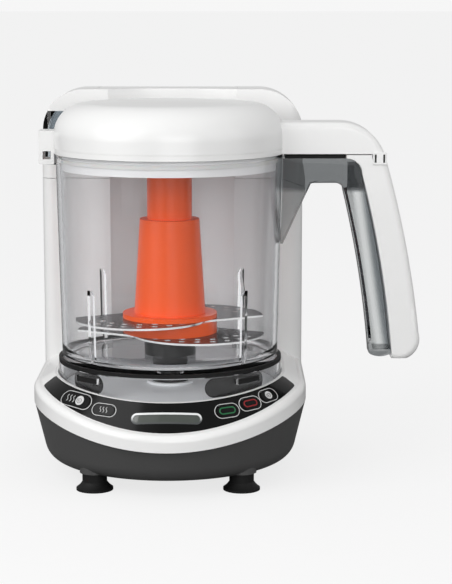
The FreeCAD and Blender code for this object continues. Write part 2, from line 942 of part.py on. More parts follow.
def tub_solid(name, wall):
    """Make the tub: round front, straight sides and round back corners, leaning out from the bottom."""
    wall = Size.of(wall)
    across = TubSection(base_radius, wall)
    along = TubSection(tower_back, wall)
    turn = TubSection(s.tower_back_corner, wall)
    corner_x = base_radius - s.tower_back_corner
    corner_y = tower_back - s.tower_back_corner
    front = place(revolved(f"{name}_front", across.half(0), 180), turn=FreeCAD.Rotation(UP, 180))
    middle = padded(f"{name}_middle", "XZ_Plane", across.whole(), corner_y, back=True)
    back = padded(f"{name}_back", "YZ_Plane", along.half(corner_y), corner_x * 2, symmetric=True)
    right = place(revolved(f"{name}_right", turn.half(0), 90), (corner_x, corner_y, 0))
    quarter = FreeCAD.Rotation(UP, 90)
    left = place(revolved(f"{name}_left", turn.half(0), 90), (-corner_x, corner_y, 0), quarter)
    return fuse(name, front, middle, back, right, left)


def under_seam(name, gap):
    """Make the space under the seam between the grey tub and the white body."""
    reach = base_radius * 2
    drop = split_side - split_front
    bend = (base_radius * base_radius + drop * drop) / (drop * 2)
    steps = [
        (-reach, -base_radius),
        (reach, -base_radius),
        (reach, split_side - gap),
        (0, split_side - gap),
        Arc(-base_radius, split_front - gap, bend, left=False),
        (-reach, split_front - gap),
    ]
    return padded(name, "YZ_Plane", steps, reach * 2, symmetric=True)


FOOT_PLACES = {
    "front_left_foot": (-s.foot_spread_front, -s.foot_front),
    "front_right_foot": (s.foot_spread_front, -s.foot_front),
    "rear_left_foot": (-s.foot_spread_rear, s.foot_rear),
    "rear_right_foot": (s.foot_spread_rear, s.foot_rear),
}
SCREW_PLACES = [
    (-s.screw_spread, s.screw_front),
    (s.screw_spread, s.screw_front),
    (-s.screw_spread, s.screw_rear),
    (s.screw_spread, s.screw_rear),
]


def make_lower_housing():
    """Make the grey tub with its foot bosses, screw posts, foot holes and cord inlet hole."""
    walls = cut("tub_walls", tub_solid("tub_outer", 0), tub_solid("tub_inner", s.housing_wall))
    trimmed = common("tub_trimmed", walls, under_seam("tub_seam", s.seam_gap))
    solids = [trimmed]
    holes = []
    recess = s.foot_rise + s.panel_fit
    boss_low = tub_bottom + s.foot_rise / 2
    boss_height = s.foot_rise + s.foot_plug_length + s.housing_wall
    plug = s.foot_plug + s.panel_fit
    plug_room = recess + s.foot_plug_length
    for name, (x, y) in FOOT_PLACES.items():
        solids.append(cylinder(f"{name}_boss", s.foot_boss, boss_height, (x, y, boss_low)))
        holes.append(cylinder(f"{name}_recess", s.foot_neck + s.panel_fit, recess, (x, y, tub_bottom)))
        holes.append(cylinder(f"{name}_hole", plug, plug_room, (x, y, tub_bottom)))
    for index, (x, y) in enumerate(SCREW_PLACES, start=1):
        solids.append(cylinder(f"post_{index}", s.screw_head * 2, s.post_height, (x, y, tub_bottom)))
        holes.append(cylinder(f"post_bore_{index}", s.screw_radius, s.post_height, (x, y, tub_bottom)))
        sink_radius = s.screw_head + s.panel_fit
        holes.append(cylinder(f"post_sink_{index}", sink_radius, s.screw_sink, (x, y, tub_bottom)))
    inlet_at = (-s.inlet_offset, s.foot_rear, s.inlet_height)
    inlet = cylinder("inlet_hole", s.inlet_radius, tower_back, inlet_at, BACKWARD)
    node(cut("lower_housing", fuse("tub_with_bosses", *solids), inlet, *holes), "lower_housing")


def make_feet():
    """Make the suction cups, each on a neck with a plug into the tub."""
    flare_top = s.foot_rim * 2
    neck_top = s.foot_height + s.foot_rise
    steps = [
        (s.foot_radius - s.foot_rim, 0),
        (s.foot_radius, 0),
        (s.foot_radius, s.foot_rim / 2),
        Arc(s.foot_neck, flare_top, s.foot_radius, left=True),
        (s.foot_neck, neck_top),
        (s.foot_plug, neck_top),
        (s.foot_plug, neck_top + s.foot_plug_length),
        (0, neck_top + s.foot_plug_length),
        (0, s.foot_cup),
    ]
    for name, (x, y) in FOOT_PLACES.items():
        node(place(revolved(name, steps), (x, y, 0)), name)


def make_base_screws():
    """Make the screws that hold the two housings together, as one group."""
    screws = []
    head_level = tub_bottom + s.screw_sink - s.screw_head_height
    shank_radius = s.screw_radius - s.hinge_fit
    for index, (x, y) in enumerate(SCREW_PLACES, start=1):
        head = cylinder(f"screw_head_{index}", s.screw_head, s.screw_head_height, (x, y, head_level))
        reach = s.post_height - s.screw_sink + s.screw_head_height
        shank = cylinder(f"screw_shank_{index}", shank_radius, reach, (x, y, head_level))
        screws.append(fuse(f"screw_{index}", head, shank))
    group = doc.addObject("Part::Compound", "base_screws")
    group.Links = screws
    node(group, "base_screws")


def make_cord_inlet():
    """Make the grommet at the back that a cord passes through."""
    length = s.inlet_length
    start = tower_back - s.tub_taper - length / 2
    at = (-s.inlet_offset, start, s.inlet_height)
    outer = s.inlet_radius - s.hinge_fit
    node(ring("cord_grommet", outer, s.inlet_bore, length, at, BACKWARD), "cord_grommet")


# Upper housing: the white band and the tower, and the column behind the lid

def tower_solid(name, wall):
    """Make the tower up to its seam, hollowed towards the lid, set in by a wall."""
    plan = padded(f"{name}_plan", "XY_Plane", tower_plan(wall), tower_seam - wall)
    return cut(name, plan, cylinder(f"{name}_recess", recess_radius + wall, tower_top))


def make_upper_housing():
    """Make the white body with its bowl pocket, panel recess and button wells."""
    nothing = Size.of(0)
    wall = s.housing_wall
    recess_edge = panel_edge - s.panel_fit.value
    corner = s.panel_corner.value
    outside = fuse(
        "housing_outside",
        free_shape("band_outside", bell(0.0, 0.0, True)),
        tower_solid("tower_outside", nothing),
    )
    hollow = fuse(
        "housing_hollow",
        free_shape("band_inside", bell(wall.value, s.control_depth.value, False)),
        tower_solid("tower_inside", wall),
    )
    pocket_wall = cylinder("pocket_wall", rim_radius, tower_top, (0, 0, pocket_under))
    hollow_below = cut("hollow_below", hollow, pocket_wall)
    tools = [
        hollow_below,
        under_seam("housing_seam", nothing),
        cylinder("pocket", pocket_radius, tower_top, (0, 0, pocket_base)),
        cylinder("shaft_hole", s.seat_hole / 2, tower_top),
        cylinder("pipe_hole", s.pipe_radius + s.pipe_fit, tower_seam, (0, pipe_y, rim_side)),
        cylinder("socket_hole", socket_radius + s.hinge_fit, tower_seam, (s.valve_offset, pipe_y, rim_side)),
        free_shape("panel_recess", panel_plate(-PANEL_ROOM, panel_back, recess_edge, recess_angle, corner)),
    ]
    for name, (angle, length, width) in BUTTONS.items():
        tools.append(button_well(f"{name}_well", angle, length, width))
    tools.append(
        stadium(
            "display_well", s.display_length - s.display_frame * 2, s.display_width,
            PanelSection(s.display_angle.value), inwards=s.control_depth * 2,
        )
    )
    node(cut("upper_housing", outside, *tools), "upper_housing")


def make_steam_column():
    """Make the white column behind the lid, which carries the steam from the tower to the nozzle."""
    half = s.recess_half_width
    solid = box("column_block", half * 2, column_back, column_top - tower_seam, (-half, 0, tower_seam))
    bore_height = nozzle_z + s.pipe_radius + s.pipe_fit - tower_seam
    tools = [
        cylinder("column_recess", recess_radius, tower_top),
        cylinder("pipe_bore", s.pipe_radius + s.pipe_fit, bore_height, (0, pipe_y, tower_seam)),
        cylinder("nozzle_bore", s.nozzle_radius + s.hinge_fit, pipe_y, (0, 0, nozzle_z), BACKWARD),
    ]
    node(cut("steam_column", solid, *tools), "steam_column")


def make_bowl_seat():
    """Make the seat plate in the pocket, with a collar round the drive."""
    plate = cylinder("seat_plate", pocket_radius - s.handle_gap, s.seat_thickness, (0, 0, pocket_base))
    collar_radius = s.seat_hole / 2 + s.housing_wall
    collar = cylinder("seat_collar", collar_radius, s.seat_thickness * 2, (0, 0, pocket_base))
    hole = cylinder("seat_bore", s.seat_hole / 2, tower_top)
    node(cut("bowl_seat", fuse("seat_with_collar", plate, collar), hole), "bowl_seat")


# Control panel, display and buttons

def button_well(name, angle, length, width):
    """Make the room that a button needs inside the panel's back and the housing."""
    section = PanelSection(angle)
    ears = s.button_ear * 2 + s.button_gap * 2
    return stadium(name, Size.of(length) + ears, s.button_gap * 2 + width, section, inwards=well_depth)


def make_control_panel():
    """Make the black crescent with its button holes and display opening."""
    bottom = panel_back - s.panel_fit.value / 2
    plate = panel_plate(0.0, bottom, panel_edge, s.panel_angle.value, s.panel_corner.value)
    layer = free_shape("panel_layer", plate)
    holes = []
    for name, (angle, length, width) in BUTTONS.items():
        section = PanelSection(angle)
        grown = s.button_gap * 2
        holes.append(stadium(f"{name}_hole", grown + length, grown + width, section))
    front = PanelSection(s.display_angle.value)
    holes.append(stadium("display_hole", s.display_length, s.display_width, front))
    node(cut("control_panel", layer, *holes), "control_panel")


def make_display():
    """Make the display's frame, lens and module, one behind the other."""
    front = PanelSection(s.display_angle.value)
    fit = s.hinge_fit * 2
    span = s.panel_angle.value / 2
    inner_length = s.display_length - s.display_frame * 2
    inner_width = s.display_width - s.display_frame * 2
    lens_back = panel_back - s.panel_fit.value
    module_back = well_depth.value - s.panel_fit.value
    frame_layer = free_shape("frame_layer", ribbon(-s.button_proud.value, lens_back, 0.0, span))
    frame_outer = stadium("frame_outer", s.display_length - fit, s.display_width - fit, front)
    frame_inner = stadium("frame_inner", inner_length, inner_width, front)
    node(cut("display_bezel", common("frame_blank", frame_layer, frame_outer), frame_inner), "display_bezel")
    lens_layer = free_shape("lens_layer", ribbon(0.0, lens_back, 0.0, span))
    lens_shape = stadium("lens_shape", inner_length - fit, inner_width - fit, front)
    node(common("display_lens", lens_layer, lens_shape), "display_lens")
    module_layer = free_shape("module_layer", ribbon(panel_back, module_back, 0.0, span))
    module_shape = stadium("module_shape", inner_length - s.display_frame, inner_width, front)
    node(common("display_module", module_layer, module_shape), "display_module")


def make_buttons():
    """Make each button with its two ears behind the panel, and the switches under them."""
    ear_top = panel_back + s.button_gap.value
    ear_bottom = ear_top + s.button_ear_thickness.value
    span = s.panel_angle.value
    switches = []
    for name, (angle, length, width) in BUTTONS.items():
        section = PanelSection(angle)
        low = free_shape(f"{name}_cap_layer", ribbon(-s.button_proud.value, ear_bottom, 0.0, span))
        cap = common(f"{name}_cap", low, stadium(f"{name}_cap_shape", length, width, section))
        behind = free_shape(f"{name}_ear_layer", ribbon(ear_top, ear_bottom, 0.0, span))
        reach = s.button_ear * 2 + length
        ears = common(f"{name}_ears", behind, stadium(f"{name}_ear_shape", reach, width, section))
        node(fuse(name, cap, ears), name)
        switch = doc.addObject("Part::Cylinder", f"{name}_switch")
        bind(switch, "Radius", s.switch_radius)
        bind(switch, "Height", s.switch_height + well_sag)
        frame = section.frame()
        depth = FreeCAD.Vector(0, 0, -well_depth.value)
        switch.Placement = FreeCAD.Placement(frame.multVec(depth), frame.Rotation)
        switches.append(switch)
    group = doc.addObject("Part::Compound", "button_switches")
    group.Links = switches
    node(group, "button_switches")


def make_control_board():
    """Make the board on its standoffs, on the tub's floor behind the panel."""
    level = tub_floor + s.standoff_height
    at = (0, -s.board_setback, level)
    board = block("board_plate", s.board_width, s.board_depth, s.board_thickness, at)
    posts = [board]
    reach = s.board_width / 2 - s.screw_head
    for index, x in enumerate((-reach, reach), start=1):
        foot = (x, -s.board_setback, tub_floor)
        posts.append(cylinder(f"standoff_{index}", s.screw_head, s.standoff_height, foot))
    node(fuse("control_board", *posts), "control_board")


# Drive

def make_drive():
    """Make the motor on its bracket and grommets, its shaft and the coupler on top."""
    grommet_reach = s.bracket_radius - s.grommet_radius
    grommets = []
    for index in range(QUARTERS):
        angle = math.radians((index + 0.5) * 360.0 / QUARTERS)
        at = (grommet_reach * math.cos(angle), grommet_reach * math.sin(angle), tub_floor)
        grommets.append(cylinder(f"grommet_{index + 1}", s.grommet_radius, s.grommet_height, at))
    group = doc.addObject("Part::Compound", "motor_grommets")
    group.Links = grommets
    node(group, "motor_grommets")
    bracket_z = tub_floor + s.grommet_height
    node(cylinder("motor_bracket", s.bracket_radius, s.bracket_thickness, (0, 0, bracket_z)), "motor_bracket")
    can_z = bracket_z + s.bracket_thickness
    bearing_depth = s.coupler_height
    bore_z = motor_top - bearing_depth
    can = cylinder("can_solid", s.motor_radius, s.motor_height, (0, 0, can_z))
    bore = cylinder("can_bore", s.shaft_radius + s.shaft_fit, bearing_depth, (0, 0, bore_z))
    node(cut("motor_can", can, bore), "motor_can")
    shaft_top = coupler_z + s.coupler_height
    shaft_low = bore_z + s.shaft_fit
    node(cylinder("motor_shaft", s.shaft_radius, shaft_top - shaft_low, (0, 0, shaft_low)), "motor_shaft")
    flange = cylinder("coupler_flange", s.coupler_radius, s.coupler_lift * 2, (0, 0, coupler_z))
    hexagon = hex_bar("coupler_hex", s.coupler_hex, s.coupler_height + s.coupler_lift, coupler_z)
    bore_radius = s.shaft_radius + s.hinge_fit / 2
    shaft_bore = cylinder("coupler_bore", bore_radius, s.coupler_height, (0, 0, coupler_z))
    node(cut("drive_coupler", fuse("coupler_blank", flange, hexagon), shaft_bore), "drive_coupler")


def hex_bar(name, radius, height, level):
    """Make an upright six-sided bar on the bowl's axis."""
    bar = doc.addObject("Part::Prism", name)
    bar.Polygon = 6
    bind(bar, "Circumradius", radius)
    bind(bar, "Height", height)
    return place(bar, (0, 0, level))


# Steam and water inside the tower

def make_steam():
    """Make the boiler on its saddle, the steam pipe, the nozzle, the tank's socket and the feed hose."""
    axis_z = tub_floor + s.boiler_saddle + s.boiler_radius
    half = s.boiler_length / 2
    at = (-half, pipe_y, axis_z)
    node(cylinder("boiler", s.boiler_radius, s.boiler_length, at, RIGHTWARD), "boiler")
    rest_y = pipe_y - s.saddle_setback
    depth = s.boiler_radius
    plate = block("saddle_plate", s.boiler_length, depth, s.bracket_thickness, (0, rest_y, tub_floor))
    rests = [plate]
    for index, side in enumerate((-1, 1), start=1):
        x = (half - s.saddle_width / 2) * side
        rest_height = axis_z - tub_floor
        rests.append(block(f"saddle_{index}", s.saddle_width, depth, rest_height, (x, rest_y, tub_floor)))
    room = cylinder("saddle_room", s.boiler_radius, s.boiler_length, at, RIGHTWARD)
    node(cut("boiler_bracket", fuse("saddle_blank", *rests), room), "boiler_bracket")
    pipe_low = axis_z + s.boiler_radius
    points = [
        FreeCAD.Vector(0, pipe_y.value, pipe_low.value),
        FreeCAD.Vector(0, pipe_y.value, nozzle_z.value),
        FreeCAD.Vector(0, nozzle_back.value, nozzle_z.value),
    ]
    held(tube("steam_pipe", points, s.pipe_bend.value, s.pipe_radius.value), "steam_pipe")
    nozzle_front = lid_radius + s.nozzle_gap
    at = (0, nozzle_front, nozzle_z)
    length = nozzle_back - nozzle_front
    node(ring("steam_nozzle", s.nozzle_radius, s.nozzle_bore, length, at, BACKWARD), "steam_nozzle")
    socket_low = tower_seam - s.housing_wall - s.socket_height
    at = (s.valve_offset, pipe_y, socket_low)
    node(ring("tank_socket", socket_radius, s.hose_radius, tower_seam - socket_low, at), "tank_socket")
    points = [
        FreeCAD.Vector(s.valve_offset.value, pipe_y.value, socket_low.value),
        FreeCAD.Vector(s.valve_offset.value, pipe_y.value, axis_z.value),
        FreeCAD.Vector(half.value, pipe_y.value, axis_z.value),
    ]
    held(tube("feed_hose", points, s.hose_bend.value, s.hose_radius.value), "feed_hose")


# Water tank, its cap and the fill flap

def make_tank():
    """Make the smoky tank in its white collar, which runs up as a sleeve at the right, and the valve."""
    collar_low = tower_seam + s.tank_gap
    tray_floor = collar_low + s.tank_wall
    sleeve_start = s.recess_half_width + s.tank_gap
    beside = box("sleeve_side", base_radius, tower_back, tower_top, (sleeve_start, 0, 0))
    sleeve = common("collar_sleeve", head_slice("sleeve_blank", 0, collar_low, shell_top), beside)
    collar = fuse("collar_solid", head_slice("collar_blank", 0, collar_low, collar_top), sleeve)
    tray = head_slice("tray_room", s.tank_wall, tray_floor, shell_top + s.tank_gap)
    valve_hole = cylinder("collar_hole", s.valve_radius + s.hinge_fit, tower_top, (s.valve_offset, pipe_y, 0))
    node(cut("tank_collar", collar, tray, valve_hole), "tank_collar")
    plug_inset = s.tank_wall + s.tank_gap
    plug = head_slice("tank_plug", plug_inset, tray_floor, shell_top)
    sleeve_room = box("sleeve_room", base_radius, tower_back, tower_top, (s.recess_half_width, 0, 0))
    shell = cut("tank_shell", head_slice("shell_blank", s.tank_step, collar_top, shell_top), sleeve_room)
    floor = tray_floor + s.tank_wall
    room = head_slice("tank_room", plug_inset + s.tank_wall, floor, shell_top + s.tank_gap)
    hole = cylinder("tank_hole", s.valve_radius + s.hinge_fit, tower_top, (s.valve_offset, pipe_y, 0))
    node(cut("water_tank", fuse("tank_blank", plug, shell), room, hole), "water_tank")
    stem = cylinder("valve_stem", s.valve_radius, floor - collar_low, (s.valve_offset, pipe_y, collar_low))
    head = cylinder("valve_head", s.valve_head, s.tank_wall, (s.valve_offset, pipe_y, floor))
    node(fuse("tank_valve", stem, head), "tank_valve")


def make_cap():
    """Make the tank's cap with the flap's opening and hinge bosses."""
    blank = head_slice("cap_blank", 0, shell_top, tower_top, column=False)
    room = head_slice("cap_room", s.tank_wall, shell_top - s.tank_gap, tower_top, column=False)
    width = s.flap_left + s.flap_right
    opening = box("flap_opening", width, s.flap_depth, tower_top, (-s.flap_left, flap_front, shell_top))
    boss_size = s.flap_knuckle * 2
    bosses = []
    for index, x in enumerate((-s.flap_left - boss_size, s.flap_right), start=1):
        at = (x, flap_axis_y - s.flap_knuckle, flap_axis_z - s.flap_knuckle)
        bosses.append(box(f"flap_boss_{index}", boss_size, boss_size, boss_size - s.tank_gap, at))
    shell = fuse("cap_with_bosses", cut("cap_shell", blank, room), *bosses)
    bore_length = width + boss_size * 2
    at = (-s.flap_left - boss_size, flap_axis_y, flap_axis_z)
    bore = cylinder("flap_bore", s.flap_pin_radius + s.hinge_fit, bore_length, at, RIGHTWARD)
    node(cut("tank_cap", shell, opening, bore), "tank_cap")


def make_flap():
    """Make the fill flap with its knuckle, and the pin it turns on."""
    width = s.flap_left + s.flap_right - s.flap_gap * 2
    left = s.flap_gap - s.flap_left
    depth = flap_axis_y - flap_front - s.flap_gap
    at = (left, flap_front + s.flap_gap, tower_top - s.flap_thickness)
    plate = box("flap_plate", width, depth, s.flap_thickness, at)
    knuckle = cylinder("flap_roll", s.flap_knuckle, width, (left, flap_axis_y, flap_axis_z), RIGHTWARD)
    bore_at = (left, flap_axis_y, flap_axis_z)
    bore = cylinder("flap_roll_bore", s.flap_pin_radius + s.hinge_fit / 2, width, bore_at, RIGHTWARD)
    node(cut("fill_flap", fuse("flap_blank", plate, knuckle), bore), "fill_flap")
    reach = s.flap_knuckle * 2 - s.tank_gap
    at = (-s.flap_left - reach, flap_axis_y, flap_axis_z)
    length = s.flap_left + s.flap_right + reach * 2
    node(cylinder("flap_pin", s.flap_pin_radius, length, at, RIGHTWARD), "flap_pin")


# Bowl and handle

def bowl_inner(level):
    """Return the bowl's inside radius at a height above its floor."""
    return bowl_low_radius - s.bowl_wall + s.bowl_draft * (Size.of(level) / s.bowl_depth)


def make_bowl():
    """Make the clear bowl with its skirt, spindle boss, wall ribs and slots for the lugs."""
    corner = s.bowl_corner
    skirt_inside = skirt_radius - s.bowl_wall
    bore = s.spindle_radius + s.spindle_fit + s.bush_wall + s.hinge_fit
    low_wall = bowl_low_radius - s.bowl_wall
    steps = [
        (skirt_inside, pocket_floor),
        (skirt_radius, pocket_floor),
        (skirt_radius, bowl_floor_z - s.skirt_inset),
        (bowl_low_radius, bowl_floor_z),
        (s.bowl_radius, bowl_rim),
        (s.bowl_radius - s.bowl_wall, bowl_rim),
        (low_wall, bowl_inside + corner),
        Arc(low_wall - corner, bowl_inside, corner, left=True),
        (s.bowl_boss_radius, bowl_inside),
        (s.bowl_boss_radius - s.bush_wall, boss_top),
        (bore, boss_top),
        (bore, boss_bottom),
        (bore + s.bowl_wall, boss_bottom),
        (bore + s.bowl_wall, bowl_floor_z),
        (skirt_inside, bowl_floor_z),
    ]
    body = revolved("bowl_turned", steps)
    ribs = [body]
    slots = []
    for index in range(QUARTERS):
        angle = s.rib_angle.value + 360.0 * index / QUARTERS
        ribs.append(bowl_rib(f"bowl_rib_{index + 1}", angle))
        slots.append(skirt_block(f"lug_slot_{index + 1}", angle, Size.of(0)))
    node(cut("bowl", fuse("bowl_with_ribs", *ribs), *slots), "bowl")


def skirt_block(name, angle, gap):
    """Make a block through the bowl's skirt at an angle, smaller than a lug's slot by a gap all round."""
    turn = FreeCAD.Rotation(UP, angle)
    width = s.lug_slot_width - gap * 2
    item = box(name, s.bowl_radius, width, s.lug_slot_height - gap * 2)
    corner = turn.multVec(FreeCAD.Vector(s.bowl_boss_radius.value * 2, -width.value / 2, 0))
    level = pocket_floor + s.lug_slot_rise + gap
    item.Placement = FreeCAD.Placement(corner + UP * level.value, turn)
    return item


def make_bowl_trim():
    """Make the dark ring on the bowl's ledge, the locking lugs in its skirt and the collar round its boss."""
    inner = bowl_low_radius + s.handle_gap
    node(ring("bowl_ring", skirt_radius, inner, s.bowl_ring_height, (0, 0, bowl_floor_z)), "bowl_ring")
    lug_outer = skirt_radius - s.hinge_fit
    lugs = []
    for index in range(QUARTERS):
        angle = s.rib_angle.value + 360.0 * index / QUARTERS
        hoop = ring(
            f"lug_hoop_{index + 1}", lug_outer, lug_outer - s.skirt_lug_depth, s.skirt_height,
            (0, 0, pocket_floor),
        )
        piece = skirt_block(f"lug_block_{index + 1}", angle, s.handle_gap)
        lugs.append(common(f"skirt_lug_{index + 1}", hoop, piece))
    group = doc.addObject("Part::Compound", "skirt_lugs")
    group.Links = lugs
    node(group, "skirt_lugs")
    height = boss_top - bowl_inside
    hole = s.bowl_boss_radius + s.handle_gap
    node(ring("boss_collar", s.boss_collar_radius, hole, height, (0, 0, bowl_inside)), "boss_collar")


def bowl_rib(name, angle):
    """Make one upright rib on the bowl's wall."""
    low = bowl_inner(0) + s.bowl_wall / 2
    high = bowl_inner(s.rib_height) + s.bowl_wall / 2
    depth = s.rib_depth + s.bowl_wall / 2
    foot = bowl_inside - s.bowl_floor / 2
    top = bowl_inside + s.rib_height
    steps = [
        (low - depth, foot),
        (low, foot),
        (high, top - s.rib_depth),
        (high, top),
        (high - depth / 2, top),
        (high - depth, top - s.rib_depth),
    ]
    rib = padded(name, "XZ_Plane", steps, s.rib_width, symmetric=True)
    rib.Placement = FreeCAD.Placement(FreeCAD.Vector(), FreeCAD.Rotation(UP, angle))
    return rib


def make_handle_rail():
    """Make the smoky rail: bridge, gusset at the bowl's wall and curved grip, a channel open to the cover."""
    blank = padded("rail_blank", "XZ_Plane", rail_outline(Size.of(0)), s.rail_width, symmetric=True)
    gap = s.handle_gap
    low = bowl_low_radius + gap
    room = cone("rail_bowl_room", low, s.bowl_radius + gap, s.bowl_depth, (0, 0, bowl_floor_z))
    wall = s.rail_wall
    outside = grip_bottom_x + s.rail_depth * 2
    channel_top = bowl_rim - s.bridge_drop - wall
    steps = [
        (grip_top_x + wall, channel_top),
        (grip_top_x + wall, grip_top_z),
        Arc(grip_bottom_x + wall, grip_bottom_z + wall, s.grip_curve, left=True),
        (outside, grip_bottom_z + wall),
        (outside, channel_top),
    ]
    channel = padded("rail_channel", "XZ_Plane", steps, s.rail_width - wall * 2, symmetric=True)
    node(cut("handle_rail", blank, room, channel), "handle_rail")


def rail_outline(grow):
    """Return the rail's outline in X and Z, its cover side grown by a gap."""
    bridge_top = bowl_rim - s.bridge_drop + grow
    bridge_bottom = bowl_rim - s.bridge_drop - s.bridge_height
    corner = s.rail_corner
    turn_z = bridge_top - corner
    turn_x = grip_top_x + s.rail_depth - s.grip_lean * (turn_z - grip_top_z) + grow
    wall = s.bowl_radius - s.bowl_draft * 2
    gusset_low = bridge_bottom - s.gusset_height
    return [
        (wall, gusset_low),
        (s.bowl_radius, gusset_low),
        (s.bowl_radius + s.gusset_reach, bridge_bottom),
        (grip_top_x - s.grip_corner, bridge_bottom),
        Arc(grip_top_x, grip_top_z, s.grip_corner, left=True),
        Arc(grip_bottom_x, grip_bottom_z, s.grip_curve, left=True),
        Arc(grip_bottom_x + s.rail_depth + grow, grip_bottom_z, s.rail_depth, left=False),
        Arc(turn_x, turn_z, s.grip_curve, left=False),
        Arc(turn_x - corner, bridge_top, corner, left=False),
        (wall, bridge_top),
    ]


def is_outer(edge):
    """Tell whether an edge of the handle's cover runs down its outer side."""
    middle = edge.CenterOfMass
    return middle.x > cover_top_x.value and middle.z > cover_foot_z.value + TOUCH


def make_handle_cover():
    """Make the white cover over the rail, with the lug for the lid's hinge."""
    inner = s.bowl_radius + s.bridge_reach
    steps = [
        (inner, bowl_rim - s.bridge_drop),
        (grip_bottom_x + s.rail_depth, cover_foot_z),
        (cover_low_x - cover_foot_run, cover_foot_z),
        Arc(cover_low_x, cover_low_z, s.cover_foot, left=False),
        Arc(cover_top_x, cover_top, s.grip_curve, left=False),
        (inner, cover_top),
    ]
    half = s.cover_width.value / 2
    blank = rounded(
        padded("cover_blank", "XZ_Plane", steps, s.cover_width, symmetric=True), s.edge_round,
        lambda edge: lies_off_middle(edge, half) and is_outer(edge),
    )
    around_rail = rail_outline(s.handle_gap)
    rail_room = padded("cover_rail_room", "XZ_Plane", around_rail, s.cover_width * 2, symmetric=True)
    relief_at = (hinge_x, -s.cover_width, hinge_z)
    relief = cylinder("hinge_relief", s.cheek_radius + s.cheek_gap, s.cover_width * 2, relief_at, BACKWARD)
    body = cut("cover_body", blank, rail_room, relief)
    lug_at = (hinge_x, -s.lug_width / 2, hinge_z)
    lug = cylinder("lug_round", s.lug_radius, s.lug_width, lug_at, BACKWARD)
    drop = s.cheek_radius + s.cheek_gap * 2
    stem_at = (hinge_x - s.lug_radius, -s.lug_width / 2, hinge_z - drop)
    stem = box("lug_stem", s.lug_radius * 2, s.lug_width, drop, stem_at)
    pin_at = (hinge_x, -s.cover_width, hinge_z)
    bore = cylinder("lug_bore", s.hinge_pin_radius + s.hinge_fit, s.cover_width * 2, pin_at, BACKWARD)
    node(cut("handle_cover", fuse("cover_with_lug", body, lug, stem), bore), "handle_cover")


# Blade assembly

def make_blades():
    """Make the spindle, its bush and coupler, the hub, the spacer, the stem and the two blades."""
    bush_outer = s.spindle_radius + s.spindle_fit + s.bush_wall
    height = boss_top - boss_bottom
    bush_inner = s.spindle_radius + s.spindle_fit
    node(ring("spindle_bush", bush_outer, bush_inner, height, (0, 0, boss_bottom)), "spindle_bush")
    spindle_low = coupler_cup_top
    spindle_high = hub_low + s.cone_height
    node(cylinder("spindle", s.spindle_radius, spindle_high - spindle_low, (0, 0, spindle_low)), "spindle")
    cup_low = coupler_z + s.coupler_lift * 3
    cup_top = boss_bottom - s.coupler_fit
    cup = cylinder("cup_solid", s.coupler_radius, cup_top - cup_low, (0, 0, cup_low))
    socket = hex_bar("cup_socket", s.coupler_hex + s.coupler_fit, coupler_cup_top - cup_low, cup_low)
    shaft = cylinder("cup_bore", s.spindle_radius + s.hinge_fit / 2, tower_top, (0, 0, cup_low))
    node(cut("bowl_coupler", cup, socket, shaft), "bowl_coupler")
    bore = s.spindle_radius + s.hub_fit
    spacer_at = (0, 0, lower_blade_z + s.blade_thickness)
    node(ring("blade_spacer", s.flange_radius, bore, s.blade_spread, spacer_at), "blade_spacer")
    hub_top = hub_low + s.cone_height
    flange = s.flange_height - s.blade_spread - s.blade_thickness
    steps = [
        (bore, hub_low),
        (s.flange_radius, hub_low),
        (s.flange_radius, hub_low + flange),
        (s.cone_low_radius, hub_low + flange),
        (s.cone_high_radius, hub_top),
        (bore, hub_top),
    ]
    node(revolved("blade_hub", steps), "blade_hub")
    node(cylinder("hub_stem", s.stem_radius, s.stem_height, (0, 0, hub_top)), "hub_stem")
    node(make_blade("lower_blade", -1, lower_blade_z), "lower_blade")
    node(make_blade("upper_blade", 1, hub_low - s.blade_thickness), "upper_blade")


def make_blade(name, hand, level):
    """Make one blade: two round lobes swept opposite ways, with rows of holes."""
    tip = (s.blade_tip * hand, s.blade_sweep)
    root = (s.blade_root_out * hand, -s.blade_root_back)
    turn = hand < 0
    steps = [
        (-tip[0], -tip[1]),
        Arc(root[0], root[1], s.blade_curve, left=turn),
        (tip[0], tip[1]),
        Arc(-root[0], -root[1], s.blade_curve, left=turn),
    ]
    plate = padded(f"{name}_plate", "XY_Plane", steps, s.blade_thickness, level)
    holes = []
    for side in (-1, 1):
        for row, reach in enumerate((s.blade_row_inner.value, s.blade_row_outer.value)):
            count = HOLE_COUNTS[row]
            for index in range(count):
                angle = math.radians(HOLES_START + HOLES_SPAN * (index + 0.5) / count)
                x = -side * hand * (s.blade_lobe.value + reach * math.cos(angle))
                y = -side * (s.blade_sweep.value + reach * math.sin(angle))
                centre = FreeCAD.Vector(x, y, level.value)
                holes.append(Part.makeCylinder(s.blade_hole_radius.value, s.blade_thickness.value, centre))
    drilled = free_shape(f"{name}_holes", Part.makeCompound(holes))
    bore = cylinder(f"{name}_bore", s.spindle_radius + s.hub_fit, s.blade_thickness, (0, 0, level))
    return cut(name, plate, bore, drilled)


# Lid

def dome_outline(inset):
    """Return the lid's half-section, set in by a wall."""
    side = lid_radius - inset
    turn = s.lid_shoulder - inset
    flat = side - turn
    top = lid_side_top + turn
    return [
        (0, lid_base),
        (side, lid_base),
        (side, lid_side_top),
        Arc(flat, top, turn, left=False),
        (0, top + s.lid_crown),
    ]


def tops_arm(edge, start):
    """Tell whether an edge of the lid's arm runs along its top, out of the dome."""
    middle = edge.CenterOfMass
    return middle.z > lid_base.value + TOUCH and middle.x > start + TOUCH


